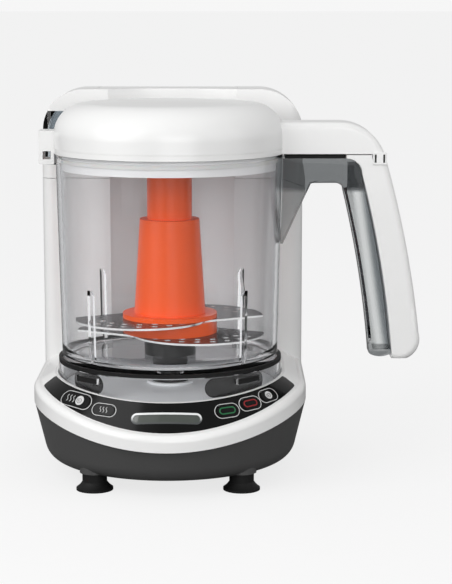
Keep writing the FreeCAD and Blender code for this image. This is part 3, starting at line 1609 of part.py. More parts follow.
def make_lid():
    """Make the lid's shell with its arm, hinge cheeks and latch tab."""
    wall = s.lid_wall
    seam = ring(
        "lid_seam", lid_radius + wall, lid_radius - s.lid_seam_width, s.lid_seam_width,
        (0, 0, lid_base + s.lid_seam_height),
    )
    dome = cut("dome", revolved("dome_turned", dome_outline(Size.of(0))), seam)
    arm_top = lid_base + s.arm_height
    curve_start = s.bowl_radius + s.arm_reach
    nose_rise = s.arm_curve - s.arm_height
    nose_x = curve_start + (s.arm_curve * s.arm_curve - nose_rise * nose_rise).root()
    inside = s.bowl_radius / 2
    steps = [
        (inside, lid_base),
        (nose_x, lid_base),
        Arc(curve_start, arm_top, s.arm_curve, left=False),
        (inside, arm_top),
    ]
    side = s.arm_width.value / 2
    arm = rounded(
        padded("lid_arm", "XZ_Plane", steps, s.arm_width, symmetric=True), s.edge_round,
        lambda edge: lies_off_middle(edge, side) and tops_arm(edge, inside.value),
    )
    cheeks_at = (hinge_x, -s.arm_width / 2, hinge_z)
    cheeks = cylinder("lid_cheeks", s.cheek_radius, s.arm_width, cheeks_at, BACKWARD)
    latch_out = s.bowl_radius + s.latch_gap + s.latch_depth
    latch_low = bowl_rim - s.latch_drop
    latch_top = lid_base + s.latch_rise
    half = s.latch_width / 2
    latch_height = latch_top - latch_low
    latch = box("latch", latch_out - inside, s.latch_width, latch_height, (-latch_out, -half, latch_low))
    solid = fuse("lid_solid", dome, arm, cheeks, latch)
    lug_half = s.lug_width / 2 + s.lug_gap
    slot_left = hinge_x - s.lug_radius - s.lug_gap
    slot_low = hinge_z - s.cheek_radius * 2
    slot_high = hinge_z + s.lug_radius + s.lug_gap
    arm_half = s.arm_width / 2 - wall
    pocket_left = lid_radius + wall
    pocket_right = hinge_x - s.cheek_radius * 3
    pin_half = s.arm_width / 2 - wall
    pin_bore = s.hinge_pin_radius + s.hinge_fit / 2
    window_x = s.window_inset - latch_out
    tools = [
        revolved("dome_room", dome_outline(wall)),
        cylinder("latch_bowl_room", s.bowl_radius + s.latch_gap, lid_base),
        box("lug_slot", s.arm_width, lug_half * 2, slot_high - slot_low, (slot_left, -lug_half, slot_low)),
        box("arm_pocket", pocket_right - pocket_left, arm_half * 2, s.arm_height - wall * 2,
            (pocket_left, -arm_half, lid_base)),
        box("latch_pocket", latch_out - lid_radius - s.latch_wall * 2, s.latch_width - s.latch_wall * 2,
            latch_top - latch_low - s.latch_wall, (s.latch_wall - latch_out, s.latch_wall - half, latch_low)),
        box("latch_window", s.window_width, s.latch_width, s.window_height,
            (window_x, -half, latch_low + s.window_rise)),
        cylinder("cheek_bore", pin_bore, pin_half * 2, (hinge_x, -pin_half, hinge_z), BACKWARD),
        cylinder("port_hole", s.port_radius, lid_radius, (0, 0, nozzle_z), BACKWARD),
    ]
    node(cut("lid_shell", solid, *tools), "lid_shell")
    pin_reach = pin_half - s.hinge_fit
    pin_at = (hinge_x, -pin_reach, hinge_z)
    node(cylinder("lid_hinge_pin", s.hinge_pin_radius, pin_reach * 2, pin_at, BACKWARD), "lid_hinge_pin")


def make_lid_liner():
    """Make the liner's lip inside the bowl, its seal and the steam port."""
    lip_outer = s.bowl_radius - s.bowl_wall - s.liner_gap
    lip_inner = lip_outer - s.liner_wall
    flange_outer = lid_radius - s.lid_wall - s.hinge_fit * 2
    low = bowl_rim - s.liner_reach
    top = lid_base + s.liner_rise
    groove = low + s.liner_reach / 2
    steps = [
        (lip_inner, low),
        (lip_outer, low),
        (lip_outer, top - s.liner_wall),
        (flange_outer, top - s.liner_wall),
        (flange_outer, top),
        (lip_inner, top),
    ]
    node(revolved("lid_liner", steps), "lid_liner")
    seal_outer = bowl_inner(groove - bowl_floor_z) - s.seal_gap
    node(ring("lid_seal", seal_outer, lip_outer + s.hinge_fit, s.seal_height, (0, 0, groove)), "lid_seal")
    port_length = s.lid_wall * 2
    at = (0, lid_radius - s.lid_wall - port_length / 2, nozzle_z)
    tip = ring("port_ring", s.port_radius - s.hinge_fit, s.nozzle_bore, port_length, at, BACKWARD)
    keep = cylinder("port_keep", lid_radius, tower_top)
    node(common("steam_port", tip, keep), "steam_port")


make_lower_housing()
make_feet()
make_base_screws()
make_cord_inlet()
make_upper_housing()
make_steam_column()
make_bowl_seat()
make_control_panel()
make_display()
make_buttons()
make_control_board()
make_drive()
make_steam()
make_tank()
make_cap()
make_flap()
make_bowl()
make_bowl_trim()
make_handle_rail()
make_handle_cover()
make_blades()
make_lid()
make_lid_liner()
doc.recompute()

for item in doc.Objects:
    if "Invalid" in item.State or "Error" in item.State:
        raise RuntimeError(f"{item.Name} failed to build")
for item in nodes:
    if item.Shape.isNull() or not item.Shape.isValid():
        raise RuntimeError(f"{item.Label} has no valid shape")

os.makedirs("parts", exist_ok=True)
for item in nodes:
    item.Shape.exportStep(os.path.join("parts", f"{item.Label}.step"))
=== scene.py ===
"""Looks of a countertop baby food maker, built over its CAD frame.

Lengths are in metres. The bowl stands on a round control base and a tower behind it holds the water tank. The
handle points along +X and the control panel faces -Y.
"""
from __future__ import annotations

import json
import logging
import math
from dataclasses import dataclass, field
from enum import Enum
from typing import Iterable

import bmesh
import bpy
from bpy.types import ID, Material, Mesh, Node, NodeOutputs, NodeSocket, NodeTree, Object
from mathutils import Matrix, Vector
from mathutils.bvhtree import BVHTree

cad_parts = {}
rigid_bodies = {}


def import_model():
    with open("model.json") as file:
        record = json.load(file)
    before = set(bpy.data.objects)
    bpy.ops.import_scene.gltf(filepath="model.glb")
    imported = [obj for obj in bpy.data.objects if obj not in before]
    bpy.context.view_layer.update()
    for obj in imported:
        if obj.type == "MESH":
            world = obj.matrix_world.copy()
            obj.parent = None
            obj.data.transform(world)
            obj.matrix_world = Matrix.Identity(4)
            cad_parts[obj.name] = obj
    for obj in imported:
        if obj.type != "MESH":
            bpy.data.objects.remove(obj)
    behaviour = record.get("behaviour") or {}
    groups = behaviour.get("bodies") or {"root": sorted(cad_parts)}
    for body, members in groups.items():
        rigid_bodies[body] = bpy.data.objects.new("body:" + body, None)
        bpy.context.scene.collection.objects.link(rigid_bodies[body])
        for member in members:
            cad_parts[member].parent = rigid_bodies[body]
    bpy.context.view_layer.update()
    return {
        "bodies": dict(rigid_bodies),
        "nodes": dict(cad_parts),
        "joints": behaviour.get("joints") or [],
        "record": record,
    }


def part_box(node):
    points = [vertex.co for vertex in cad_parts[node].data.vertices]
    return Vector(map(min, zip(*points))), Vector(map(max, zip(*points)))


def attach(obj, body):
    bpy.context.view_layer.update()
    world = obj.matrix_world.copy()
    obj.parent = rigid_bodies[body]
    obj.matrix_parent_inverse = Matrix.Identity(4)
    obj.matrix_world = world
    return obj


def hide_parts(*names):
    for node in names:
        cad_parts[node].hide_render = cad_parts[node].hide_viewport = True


LOG = logging.getLogger("baby_food_maker")
MM = 0.001
WELD = 0.001 * MM
FULL = 1.0
ROUND = 0.5

Colour = tuple[float, float, float]
Place = tuple[float, float, float]
Cover = tuple[float, float, float, float]
Nodes = dict[str, Object]
Joints = list[dict]


class Mark(Enum):
    """The sign on a button's face."""

    STEAM = "steam"
    SWIRL = "swirl"
    STEAM_SWIRL = "steam_swirl"
    RUN = "run"
    HALT = "halt"


class Tree:
    """A node tree under construction, with short ways to add and join nodes."""

    def __init__(self, tree: NodeTree) -> None:
        """Hold the tree.

        Args:
            tree: The tree.
        """
        self.tree = tree

    def add(self, kind: str, **values: object) -> Node:
        """Add a node.

        Args:
            kind: Blender's name for the node type.
            values: Properties of the node, or inputs by name with spaces as underscores.

        Returns:
            The new node.
        """
        node = self.tree.nodes.new(kind)
        self.set(node, **values)
        return node

    def set(self, node: Node, **values: object) -> None:
        """Set a node's properties, then its inputs.

        Args:
            node: The node.
            values: Properties of the node, or inputs by name with spaces as underscores.
        """
        for key, value in values.items():
            if hasattr(node, key):
                setattr(node, key, value)
        for key, value in values.items():
            if not hasattr(node, key):
                self.feed(node.inputs[key.replace("_", " ")], value)

    def feed(self, target: NodeSocket, value: object) -> None:
        """Link an input to an output, or set its value.

        Args:
            target: The input.
            value: The output or the value.
        """
        if isinstance(value, NodeSocket):
            self.tree.links.new(value, target)
        else:
            target.default_value = value

    def find(self, kind: str) -> Node:
        """Find a node that the tree began with.

        Args:
            kind: The node's type.

        Returns:
            The node.
        """
        return next(node for node in self.tree.nodes if node.type == kind)

    def calc(self, operation: str, *parts: NodeSocket | float) -> NodeSocket:
        """Add a calculation.

        Args:
            operation: Blender's name for it.
            parts: What goes into it.

        Returns:
            The result.
        """
        node = self.add("ShaderNodeMath", operation=operation)
        for target, part in zip(node.inputs, parts):
            self.feed(target, part)
        return node.outputs["Value"]

    def share(self, value: NodeSocket, start: float, end: float) -> NodeSocket:
        """Say how far a value has come from a start to an end.

        Args:
            value: The value.
            start: Where the share is nought.
            end: Where the share is one.

        Returns:
            The share.
        """
        spread = self.add("ShaderNodeMapRange", Value=value, From_Min=start, From_Max=end)
        return spread.outputs["Result"]

    def show(self, mask: NodeSocket, first: NodeSocket, second: NodeSocket, end: str) -> None:
        """Send one of two shaders to the tree's output.

        Args:
            mask: Where the second shader is.
            first: The first shader.
            second: The second shader.
            end: The type of the output node.
        """
        blend = self.add("ShaderNodeMixShader", Fac=mask)
        self.feed(blend.inputs[1], first)
        self.feed(blend.inputs[2], second)
        self.feed(self.find(end).inputs["Surface"], blend.outputs["Shader"])


class GroupLibrary:
    """Shader groups that several finishes share, each built once."""

    NOISE_LOW = 0.3
    NOISE_HIGH = 0.7
    MOTTLE_DETAIL = 3.0
    MOTTLE_ROUGHNESS = 0.55
    GRAIN_DETAIL = 2.0
    LINE_DETAIL = 4.0
    LINE_ROUGHNESS = 0.6
    LINE_STRETCH: Place = (0.08, 1.0, 1.0)

    def __init__(self) -> None:
        """Build the groups."""
        self.mottle = self._mottle()
        self.grain = self._grain()
        self.brushed = self._brushed()

    @staticmethod
    def _new(name: str, inputs: Iterable[str], outputs: Iterable[str]) -> tuple[Tree, NodeOutputs]:
        """Start a shader group.

        Args:
            name: The group's name.
            inputs: Input names.
            outputs: Output names.

        Returns:
            The tree and the sockets that give its inputs.
        """
        group = bpy.data.node_groups.new(name, "ShaderNodeTree")
        for way, names in (("INPUT", inputs), ("OUTPUT", outputs)):
            for key in names:
                group.interface.new_socket(name=key, in_out=way, socket_type="NodeSocketFloat")
        tree = Tree(group)
        return tree, tree.add("NodeGroupInput").outputs

    def _noise(
        self, tree: Tree, given: NodeOutputs, at: NodeSocket, detail: float, roughness: float
    ) -> tuple[NodeSocket, NodeSocket]:
        """Add a noise and spread it between the group's low and high value.

        Args:
            tree: The group's tree.
            given: The sockets that give its inputs.
            at: The place where the noise is read.
            detail: How many finer layers the noise has.
            roughness: How strong the finer layers are.

        Returns:
            The noise and the spread value.
        """
        noise = tree.add(
            "ShaderNodeTexNoise", Vector=at, Scale=given["Scale"], Detail=detail, Roughness=roughness,
        ).outputs["Fac"]
        spread = tree.add(
            "ShaderNodeMapRange", Value=noise, From_Min=self.NOISE_LOW, From_Max=self.NOISE_HIGH,
            To_Min=given["Low"], To_Max=given["High"],
        )
        return noise, spread.outputs["Result"]

    def _mottle(self) -> NodeTree:
        """Build slow unevenness, as handling and moulding leave it, between a low and a high value.

        Returns:
            The group.
        """
        tree, given = self._new("soft_mottle", ("Scale", "Low", "High"), ("Value", "Mask"))
        place = tree.add("ShaderNodeTexCoord").outputs["Object"]
        noise, value = self._noise(tree, given, place, self.MOTTLE_DETAIL, self.MOTTLE_ROUGHNESS)
        tree.add("NodeGroupOutput", Value=value, Mask=noise)
        return tree.tree

    def _grain(self) -> NodeTree:
        """Build the fine pitted grain of a moulded surface, as a height.

        Returns:
            The group.
        """
        tree, given = self._new("mould_grain", ("Scale",), ("Height",))
        place = tree.add("ShaderNodeTexCoord").outputs["Object"]
        pits = tree.add("ShaderNodeTexVoronoi", feature="SMOOTH_F1", Vector=place, Scale=given["Scale"])
        noise = tree.add("ShaderNodeTexNoise", Vector=place, Scale=given["Scale"], Detail=self.GRAIN_DETAIL)
        tree.add("NodeGroupOutput", Height=tree.calc("ADD", pits.outputs["Distance"], noise.outputs["Fac"]))
        return tree.tree

    def _brushed(self) -> NodeTree:
        """Build the fine lines of turned or polished metal, as a height and a roughness.

        Returns:
            The group.
        """
        tree, given = self._new("brushed_lines", ("Scale", "Low", "High"), ("Height", "Value"))
        place = tree.add("ShaderNodeTexCoord").outputs["Object"]
        stretched = tree.add("ShaderNodeMapping", Vector=place, Scale=self.LINE_STRETCH).outputs["Vector"]
        noise, value = self._noise(tree, given, stretched, self.LINE_DETAIL, self.LINE_ROUGHNESS)
        tree.add("NodeGroupOutput", Height=noise, Value=value)
        return tree.tree


def new_material(name: str) -> tuple[Material, Tree, Node]:
    """Start a material with a Principled shader.

    Args:
        name: The material's name.

    Returns:
        The material, its tree and its shader.
    """
    material = bpy.data.materials.new(name)
    material.use_nodes = True
    tree = Tree(material.node_tree)
    return material, tree, tree.find("BSDF_PRINCIPLED")


def solid(colour: Colour) -> Cover:
    """Give a colour full cover, as colour sockets take it.

    Args:
        colour: The colour.

    Returns:
        The colour with its cover.
    """
    return (*colour, FULL)


def level(value: float) -> Cover:
    """Make an even grey with full cover.

    Args:
        value: How light it is.

    Returns:
        The grey with its cover.
    """
    return solid((value, value, value))


def mixed(tree: Tree, mask: NodeSocket, first: NodeSocket | Cover, second: Colour) -> NodeSocket:
    """Go from one colour to another.

    Args:
        tree: The material's tree.
        mask: Where the second colour is.
        first: The first colour or its socket.
        second: The second colour.

    Returns:
        The colour's socket.
    """
    mix = tree.add("ShaderNodeMix", data_type="RGBA", Factor=mask, A=first, B=solid(second))
    return mix.outputs["Result"]


def tinted(tree: Tree, mask: NodeSocket, colour: Colour, shade: float) -> NodeSocket:
    """Vary a colour a little over a surface.

    Args:
        tree: The material's tree.
        mask: Where the full colour is.
        colour: The full colour.
        shade: How much of the colour is left where it is darkest.

    Returns:
        The colour's socket.
    """
    return mixed(tree, mask, solid(tuple(part * shade for part in colour)), colour)


@dataclass(frozen=True)
class PaintedShade:
    """A painted shade: a change of colour along a direction, from none at its start to all at its end."""

    colour: Colour
    along: Place
    start: float
    end: float

    def over(self, tree: Tree, colour: NodeSocket) -> NodeSocket:
        """Lay the painted shade over a colour.

        Args:
            tree: The material's tree.
            colour: The colour's socket.

        Returns:
            The changed colour's socket.
        """
        way = tree.add("ShaderNodeVectorMath", operation="DOT_PRODUCT")
        tree.feed(way.inputs[0], tree.add("ShaderNodeTexCoord").outputs["Object"])
        tree.feed(way.inputs[1], self.along)
        return mixed(tree, tree.share(way.outputs["Value"], self.start, self.end), colour, self.colour)


def moulded(
    tree: Tree, shader: Node, groups: GroupLibrary, finish: PlasticFinish | ClearFinish
) -> NodeSocket:
    """Give a plastic its uneven gloss, and its colour with its painted shades laid over it.

    Args:
        tree: The material's tree.
        shader: The material's shader.
        groups: The shared shader groups.
        finish: The finish.

    Returns:
        The colour's socket.
    """
    patches = tree.add(
        "ShaderNodeGroup", node_tree=groups.mottle,
        Scale=finish.patch_scale, Low=finish.smooth, High=finish.rough,
    ).outputs
    tree.set(shader, Roughness=patches["Value"])
    colour = tinted(tree, patches["Mask"], finish.colour, finish.shade)
    for painted_shade in finish.painted_shades:
        colour = painted_shade.over(tree, colour)
    return colour


@dataclass(frozen=True)
class PlasticFinish:
    """A moulded plastic or rubber: colour, gloss and grain."""

    name: str
    colour: Colour
    smooth: float
    rough: float
    shade: float = 0.96
    patch_scale: float = 28.0
    grain_scale: float = 2600.0
    grain_depth: float = 0.02
    grain_distance: float = 0.05 * MM
    coat: float = 0.0
    shine: float = 0.5
    soft: float = 0.0
    soft_reach: Place = (4.0 * MM, 1.5 * MM, 0.8 * MM)
    painted_shades: tuple[PaintedShade, ...] = ()

    def make(self, groups: GroupLibrary) -> Material:
        """Build the material.

        Args:
            groups: The shared shader groups.

        Returns:
            The material.
        """
        material, tree, shader = new_material(self.name)
        colour = moulded(tree, shader, groups, self)
        grain = tree.add("ShaderNodeGroup", node_tree=groups.grain, Scale=self.grain_scale)
        bump = tree.add(
            "ShaderNodeBump", Strength=self.grain_depth, Distance=self.grain_distance,
            Height=grain.outputs["Height"],
        )
        tree.set(
            shader, Base_Color=colour, Normal=bump.outputs["Normal"],
            Coat_Weight=self.coat, Specular_IOR_Level=self.shine,
        )
        if self.soft:
            tree.set(shader, Subsurface_Weight=self.soft, Subsurface_Radius=self.soft_reach)
        return material


@dataclass(frozen=True)
class ClearFinish:
    """A see-through plastic that lets light through to what stands inside."""

    name: str
    colour: Colour
    edge: Colour
    shadow: Colour
    smooth: float
    rough: float
    index: float = 1.45
    shade: float = 0.98
    patch_scale: float = 40.0
    edge_start: float = 0.35
    edge_end: float = 0.95
    painted_shades: tuple[PaintedShade, ...] = ()

    def make(self, groups: GroupLibrary) -> Material:
        """Build the material.

        Args:
            groups: The shared shader groups.

        Returns:
            The material.
        """
        material, tree, shader = new_material(self.name)
        tint = self.edged(tree, moulded(tree, shader, groups, self))
        tree.set(shader, Base_Color=tint, Transmission_Weight=FULL, IOR=self.index)
        through = tree.add("ShaderNodeBsdfTransparent", Color=solid(self.shadow))
        path = tree.add("ShaderNodeLightPath").outputs
        lighting = tree.calc("MAXIMUM", path["Is Shadow Ray"], path["Is Diffuse Ray"])
        tree.show(lighting, shader.outputs["BSDF"], through.outputs["BSDF"], "OUTPUT_MATERIAL")
        return material

    def edged(self, tree: Tree, middle: NodeSocket) -> NodeSocket:
        """Deepen the tint where a wall is seen edge on, as its longer way through the plastic does.

        Args:
            tree: The material's tree.
            middle: The tint of a wall seen straight on.

        Returns:
            The tint's socket.
        """
        facing = tree.add("ShaderNodeLayerWeight").outputs["Facing"]
        return mixed(tree, tree.share(facing, self.edge_start, self.edge_end), middle, self.edge)


@dataclass(frozen=True)
class MetalFinish:
    """A bare metal with fine lines."""

    name: str
    colour: Colour
    smooth: float
    rough: float
    line_scale: float = 500.0
    line_depth: float = 0.05
    line_distance: float = 0.03 * MM
    shade: float = 0.92
    # The colour of a painted highlight on upright walls, if there is one.
    wall_highlight: Colour | None = None
    wall_start: float = 0.75
    wall_end: float = 0.45
    glance: float = FULL

    def make(self, groups: GroupLibrary) -> Material:
        """Build the material.

        Args:
            groups: The shared shader groups.

        Returns:
            The material.
        """
        material, tree, shader = new_material(self.name)
        lines = tree.add(
            "ShaderNodeGroup", node_tree=groups.brushed,
            Scale=self.line_scale, Low=self.smooth, High=self.rough,
        ).outputs
        colour = tinted(tree, lines["Height"], self.colour, self.shade)
        if self.wall_highlight is not None:
            colour = self.edged(tree, colour)
        bump = tree.add(
            "ShaderNodeBump", Strength=self.line_depth, Distance=self.line_distance, Height=lines["Height"],
        )
        tree.set(
            shader, Base_Color=colour, Roughness=lines["Value"], Normal=bump.outputs["Normal"],
            Metallic=FULL, Specular_Tint=level(self.glance),
        )
        return material

    def edged(self, tree: Tree, flat: NodeSocket) -> NodeSocket:
        """Paint a highlight on the upright walls of a flat plate, such as its edges and the rims of its
        holes, by making them lighter than its flat faces.

        Args:
            tree: The material's tree.
            flat: The colour of the plate's flat faces.

        Returns:
            The colour's socket.
        """
        normal = tree.add("ShaderNodeNewGeometry").outputs["True Normal"]
        parts = tree.add("ShaderNodeSeparateXYZ", Vector=normal)
        slope = tree.calc("ABSOLUTE", parts.outputs["Z"])
        return mixed(tree, tree.share(slope, self.wall_start, self.wall_end), flat, self.wall_highlight)


Finish = PlasticFinish | ClearFinish | MetalFinish

UP: Place = (0.0, 0.0, 1.0)
ACROSS_RAIL: Place = (1.0, 0.0, 0.155)

WHITE = PlasticFinish(
    "white_gloss", (0.82, 0.82, 0.815), smooth=0.28, rough=0.285, shade=0.998, coat=0.1,
)
GREY = PlasticFinish(
    "grey_satin", (0.064, 0.064, 0.064), smooth=0.36, rough=0.46, shade=0.92,
    grain_scale=1800.0, grain_depth=0.12,
)
PANEL = PlasticFinish(
    "panel_black", (0.003, 0.003, 0.003), smooth=0.14, rough=0.2, shade=0.9, grain_depth=0.0, shine=0.16,
)
BUTTON = PlasticFinish(
    "button_black", (0.004, 0.004, 0.004), smooth=0.18, rough=0.24, shade=0.9, shine=0.18,
)
RUBBER = PlasticFinish(
    "black_rubber", (0.006, 0.006, 0.006), smooth=0.5, rough=0.65, shade=0.85, shine=0.25,
    grain_scale=1500.0, grain_depth=0.2,
)
ORANGE = PlasticFinish(
    "orange_satin", (0.92, 0.10, 0.004), smooth=0.3, rough=0.38, shade=0.95, grain_depth=0.05, shine=0.3,
)
SEAT = PlasticFinish("seat_grey", (0.9, 0.92, 0.93), smooth=0.3, rough=0.4, shade=0.95)
SILICONE = PlasticFinish("white_silicone", (0.78, 0.78, 0.76), smooth=0.45, rough=0.6, shade=0.95, soft=0.2)
LINER = PlasticFinish("liner_white", (0.88, 0.88, 0.88), smooth=0.3, rough=0.4, shade=0.97)
BLACK = PlasticFinish(
    "black_plastic", (0.009, 0.009, 0.009), smooth=0.3, rough=0.4, shade=0.9, grain_depth=0.08, shine=0.35,
)
BOARD = PlasticFinish(
    "board_green", (0.02, 0.14, 0.05), smooth=0.3, rough=0.5, shade=0.8, patch_scale=300.0,
)
DISPLAY = PlasticFinish(
    "display_grey", (0.055, 0.064, 0.055), smooth=0.08, rough=0.14, shade=0.85, patch_scale=120.0,
    grain_depth=0.0, coat=0.4,
)
BEZEL = PlasticFinish(
    "pale_trim", (0.8, 0.81, 0.81), smooth=0.2, rough=0.3, shade=0.95,
    # Painted shade: the pale trim is painted dark towards its bottom edge, where the light on it falls off.
    painted_shades=(PaintedShade((0.05, 0.055, 0.055), UP, start=50.4 * MM, end=47.4 * MM),),
)
INK_WHITE = PlasticFinish("ink_white", (0.62, 0.62, 0.62), smooth=0.4, rough=0.5)
INK_DARK = PlasticFinish("ink_dark", (0.015, 0.015, 0.016), smooth=0.4, rough=0.5)
INK_GREEN = PlasticFinish("ink_green", (0.006, 0.13, 0.04), smooth=0.4, rough=0.5)
INK_RED = PlasticFinish("ink_red", (0.26, 0.004, 0.007), smooth=0.4, rough=0.5)
SMOKY = ClearFinish(
    "smoky_clear", (0.953, 0.956, 0.963), edge=(0.46, 0.47, 0.49), shadow=(0.96, 0.96, 0.965),
    smooth=0.005, rough=0.015, index=1.34,
)
# Painted shade and highlight on the rail: darker towards both sides of the grip, so that its middle shows as
# a light strip, and darker near its top and bottom ends.
RAIL_PAINTED_SHADE: Colour = (0.2, 0.21, 0.215)
SMOKY_DARK = ClearFinish(
    "smoky_dark", (0.82, 0.83, 0.83), edge=(0.03, 0.033, 0.035), shadow=(0.6, 0.61, 0.63),
    smooth=0.01, rough=0.03, index=1.2,
    painted_shades=(
        PaintedShade((0.4, 0.42, 0.43), ACROSS_RAIL, start=109.8 * MM, end=113.4 * MM),
        PaintedShade((0.5, 0.51, 0.51), ACROSS_RAIL, start=107.0 * MM, end=104.4 * MM),
        PaintedShade(RAIL_PAINTED_SHADE, UP, start=176.0 * MM, end=178.0 * MM),
        PaintedShade(RAIL_PAINTED_SHADE, UP, start=79.0 * MM, end=77.0 * MM),
    ),
)
SMOKY_TANK = ClearFinish(
    "smoky_tank", (0.46, 0.50, 0.53), edge=(0.2, 0.22, 0.23), shadow=(0.5, 0.52, 0.54),
    smooth=0.01, rough=0.03,
)
STEEL = MetalFinish("polished_steel", (0.8, 0.8, 0.8), smooth=0.2, rough=0.32)
# Painted highlight: the blade's upright walls and hole rims are lighter than its flat faces.
BLADE = MetalFinish(
    "blade_steel", (0.26, 0.26, 0.27), smooth=0.16, rough=0.26, wall_highlight=(0.78, 0.78, 0.78), glance=0.62,
)
ALUMINIUM = MetalFinish(
    "cast_aluminium", (0.6, 0.6, 0.6), smooth=0.35, rough=0.5, line_scale=900.0, line_depth=0.2,
)
PLATED = MetalFinish("plated_steel", (0.45, 0.45, 0.44), smooth=0.25, rough=0.4)

NODE_FINISHES: dict[Finish, tuple[str, ...]] = {
    WHITE: (
        "upper_housing", "steam_column", "handle_cover", "lid_shell", "tank_collar", "tank_cap",
        "fill_flap", "steam_port",
    ),
    LINER: ("lid_liner",),
    GREY: ("lower_housing", "tank_socket"),
    SEAT: ("bowl_seat",),
    SMOKY: ("bowl",),
    SMOKY_DARK: ("handle_rail",),
    SMOKY_TANK: ("water_tank",),
    PANEL: ("control_panel",),
    BUTTON: ("steam_blend_button", "steam_button", "start_button", "stop_button", "blend_button"),
    DISPLAY: ("display_lens",),
    BEZEL: ("display_bezel",),
    RUBBER: (
        "front_left_foot", "front_right_foot", "rear_left_foot", "rear_right_foot", "cord_grommet",
        "motor_grommets", "bowl_ring",
    ),
    SILICONE: ("lid_seal", "feed_hose", "tank_valve"),
    ORANGE: ("blade_hub", "hub_stem", "blade_spacer"),
    BLADE: ("lower_blade", "upper_blade"),
    STEEL: ("spindle", "lid_hinge_pin", "flap_pin", "motor_shaft", "base_screws"),
    ALUMINIUM: ("boiler", "steam_pipe", "steam_nozzle"),
    PLATED: ("motor_bracket", "motor_can", "boiler_bracket"),
    BLACK: (
        "drive_coupler", "bowl_coupler", "button_switches", "display_module", "spindle_bush", "skirt_lugs",
        "boss_collar",
    ),
    BOARD: ("control_board",),
}


class Paints:
    """Every finish, made into a material once."""

    def __init__(self) -> None:
        """Build the shared groups and start an empty shelf."""
        self.groups = GroupLibrary()
        self.made: dict[str, Material] = {}

    def get(self, finish: Finish) -> Material:
        """Find a finish's material, made at its first use.

        Args:
            finish: The finish.

        Returns:
            The material.
        """
        if finish.name not in self.made:
            self.made[finish.name] = finish.make(self.groups)
        return self.made[finish.name]

    def dress_nodes(self, nodes: Nodes) -> None:
        """Give every CAD node its finish.

        Args:
            nodes: The frame's nodes by name.
        """
        for finish, names in NODE_FINISHES.items():
            for name in names:
                slots = nodes[name].data.materials
                slots.clear()
                slots.append(self.get(finish))
                LOG.info("dressed %s in %s", name, finish.name)


def put(name: str, data: ID) -> Object:
    """Put a mesh, a light or a camera into the scene.

    Args:
        name: The object's name.
        data: What it shows.

    Returns:
        The object.
    """
    made = bpy.data.objects.new(name, data)
    bpy.context.scene.collection.objects.link(made)
    return made


def baked(holder: Object) -> Mesh:
    """Run an object's modifiers and take the object away.

    Args:
        holder: The object.

    Returns:
        The result as a plain mesh.
    """
    graph = bpy.context.evaluated_depsgraph_get()
    mesh = bpy.data.meshes.new_from_object(holder.evaluated_get(graph))
    bpy.data.objects.remove(holder)
    return mesh


def welded(mesh: Mesh, reach: float) -> bmesh.types.BMesh:
    """Open a mesh for work, with the points that meet made one.

    Args:
        mesh: The mesh.
        reach: How near two points meet.

    Returns:
        The shape to work on.
    """
    work = bmesh.new()
    work.from_mesh(mesh)
    bmesh.ops.remove_doubles(work, verts=work.verts, dist=reach)
    return work


def mesh_from(name: str, work: bmesh.types.BMesh) -> Mesh:
    """Turn a worked shape into a mesh.

    Args:
        name: The mesh's name.
        work: The shape, which is freed.

    Returns:
        The mesh.
    """
    mesh = bpy.data.meshes.new(name)
    work.to_mesh(mesh)
    work.free()
    return mesh


class FlatTree(Tree):
    """A Geometry Nodes tree with named inputs, run once into a plain mesh."""

    def __init__(self, name: str, inputs: dict[str, float], material: Material) -> None:
        """Start the tree.

        Args:
            name: The tree's name.
            inputs: Input names with their values.
            material: The material that the result gets.
        """
        super().__init__(bpy.data.node_groups.new(name, "GeometryNodeTree"))
        self.values: dict[str, float] = {}
        for key, value in inputs.items():
            kind = "NodeSocketInt" if isinstance(value, int) else "NodeSocketFloat"
            socket = self.tree.interface.new_socket(name=key, in_out="INPUT", socket_type=kind)
            self.values[socket.identifier] = value
        self.tree.interface.new_socket(name="Geometry", in_out="OUTPUT", socket_type="NodeSocketGeometry")
        self.given = self.add("NodeGroupInput").outputs
        self.material = material

    def stroke(self, curve: NodeSocket) -> NodeSocket:
        """Give a flat curve a rectangular section, with the sizes of the inputs Line and Height.

        Args:
            curve: The curve's socket.

        Returns:
            The mesh's socket.
        """
        section = self.add(
            "GeometryNodeCurvePrimitiveQuadrilateral", Width=self.given["Line"], Height=self.given["Height"],
        )
        swept = self.add(
            "GeometryNodeCurveToMesh", Curve=curve, Profile_Curve=section.outputs["Curve"], Fill_Caps=True,
        )
        return swept.outputs["Mesh"]

    def run(self, geometry: NodeSocket) -> Mesh:
        """End the tree in plain geometry with its material, and evaluate it.

        Args:
            geometry: The socket with the shapes.

        Returns:
            The result as a plain mesh.
        """
        real = self.add("GeometryNodeRealizeInstances", Geometry=geometry)
        paint = self.add("GeometryNodeSetMaterial", Geometry=real.outputs["Geometry"], Material=self.material)
        self.add("NodeGroupOutput", Geometry=paint.outputs["Geometry"])
        holder = put("holder", bpy.data.meshes.new("holder"))
        modifier = holder.modifiers.new("nodes", "NODES")
        modifier.node_group = self.tree
        for key, value in self.values.items():
            modifier[key] = value
        return baked(holder)


def joint_named(joints: Joints, name: str) -> dict:
    """Find a joint.

    Args:
        joints: The frame's joints.
        name: The joint's name.

    Returns:
        The joint.
    """
    return next(joint for joint in joints if joint["name"] == name)


def surface_of(node: Object) -> BVHTree:
    """Gather a CAD node's faces, ready to be met by rays.

    Args:
        node: The node.

    Returns:
        The faces.
    """
    points = [vertex.co.copy() for vertex in node.data.vertices]
    return BVHTree.FromPolygons(points, [tuple(polygon.vertices) for polygon in node.data.polygons])


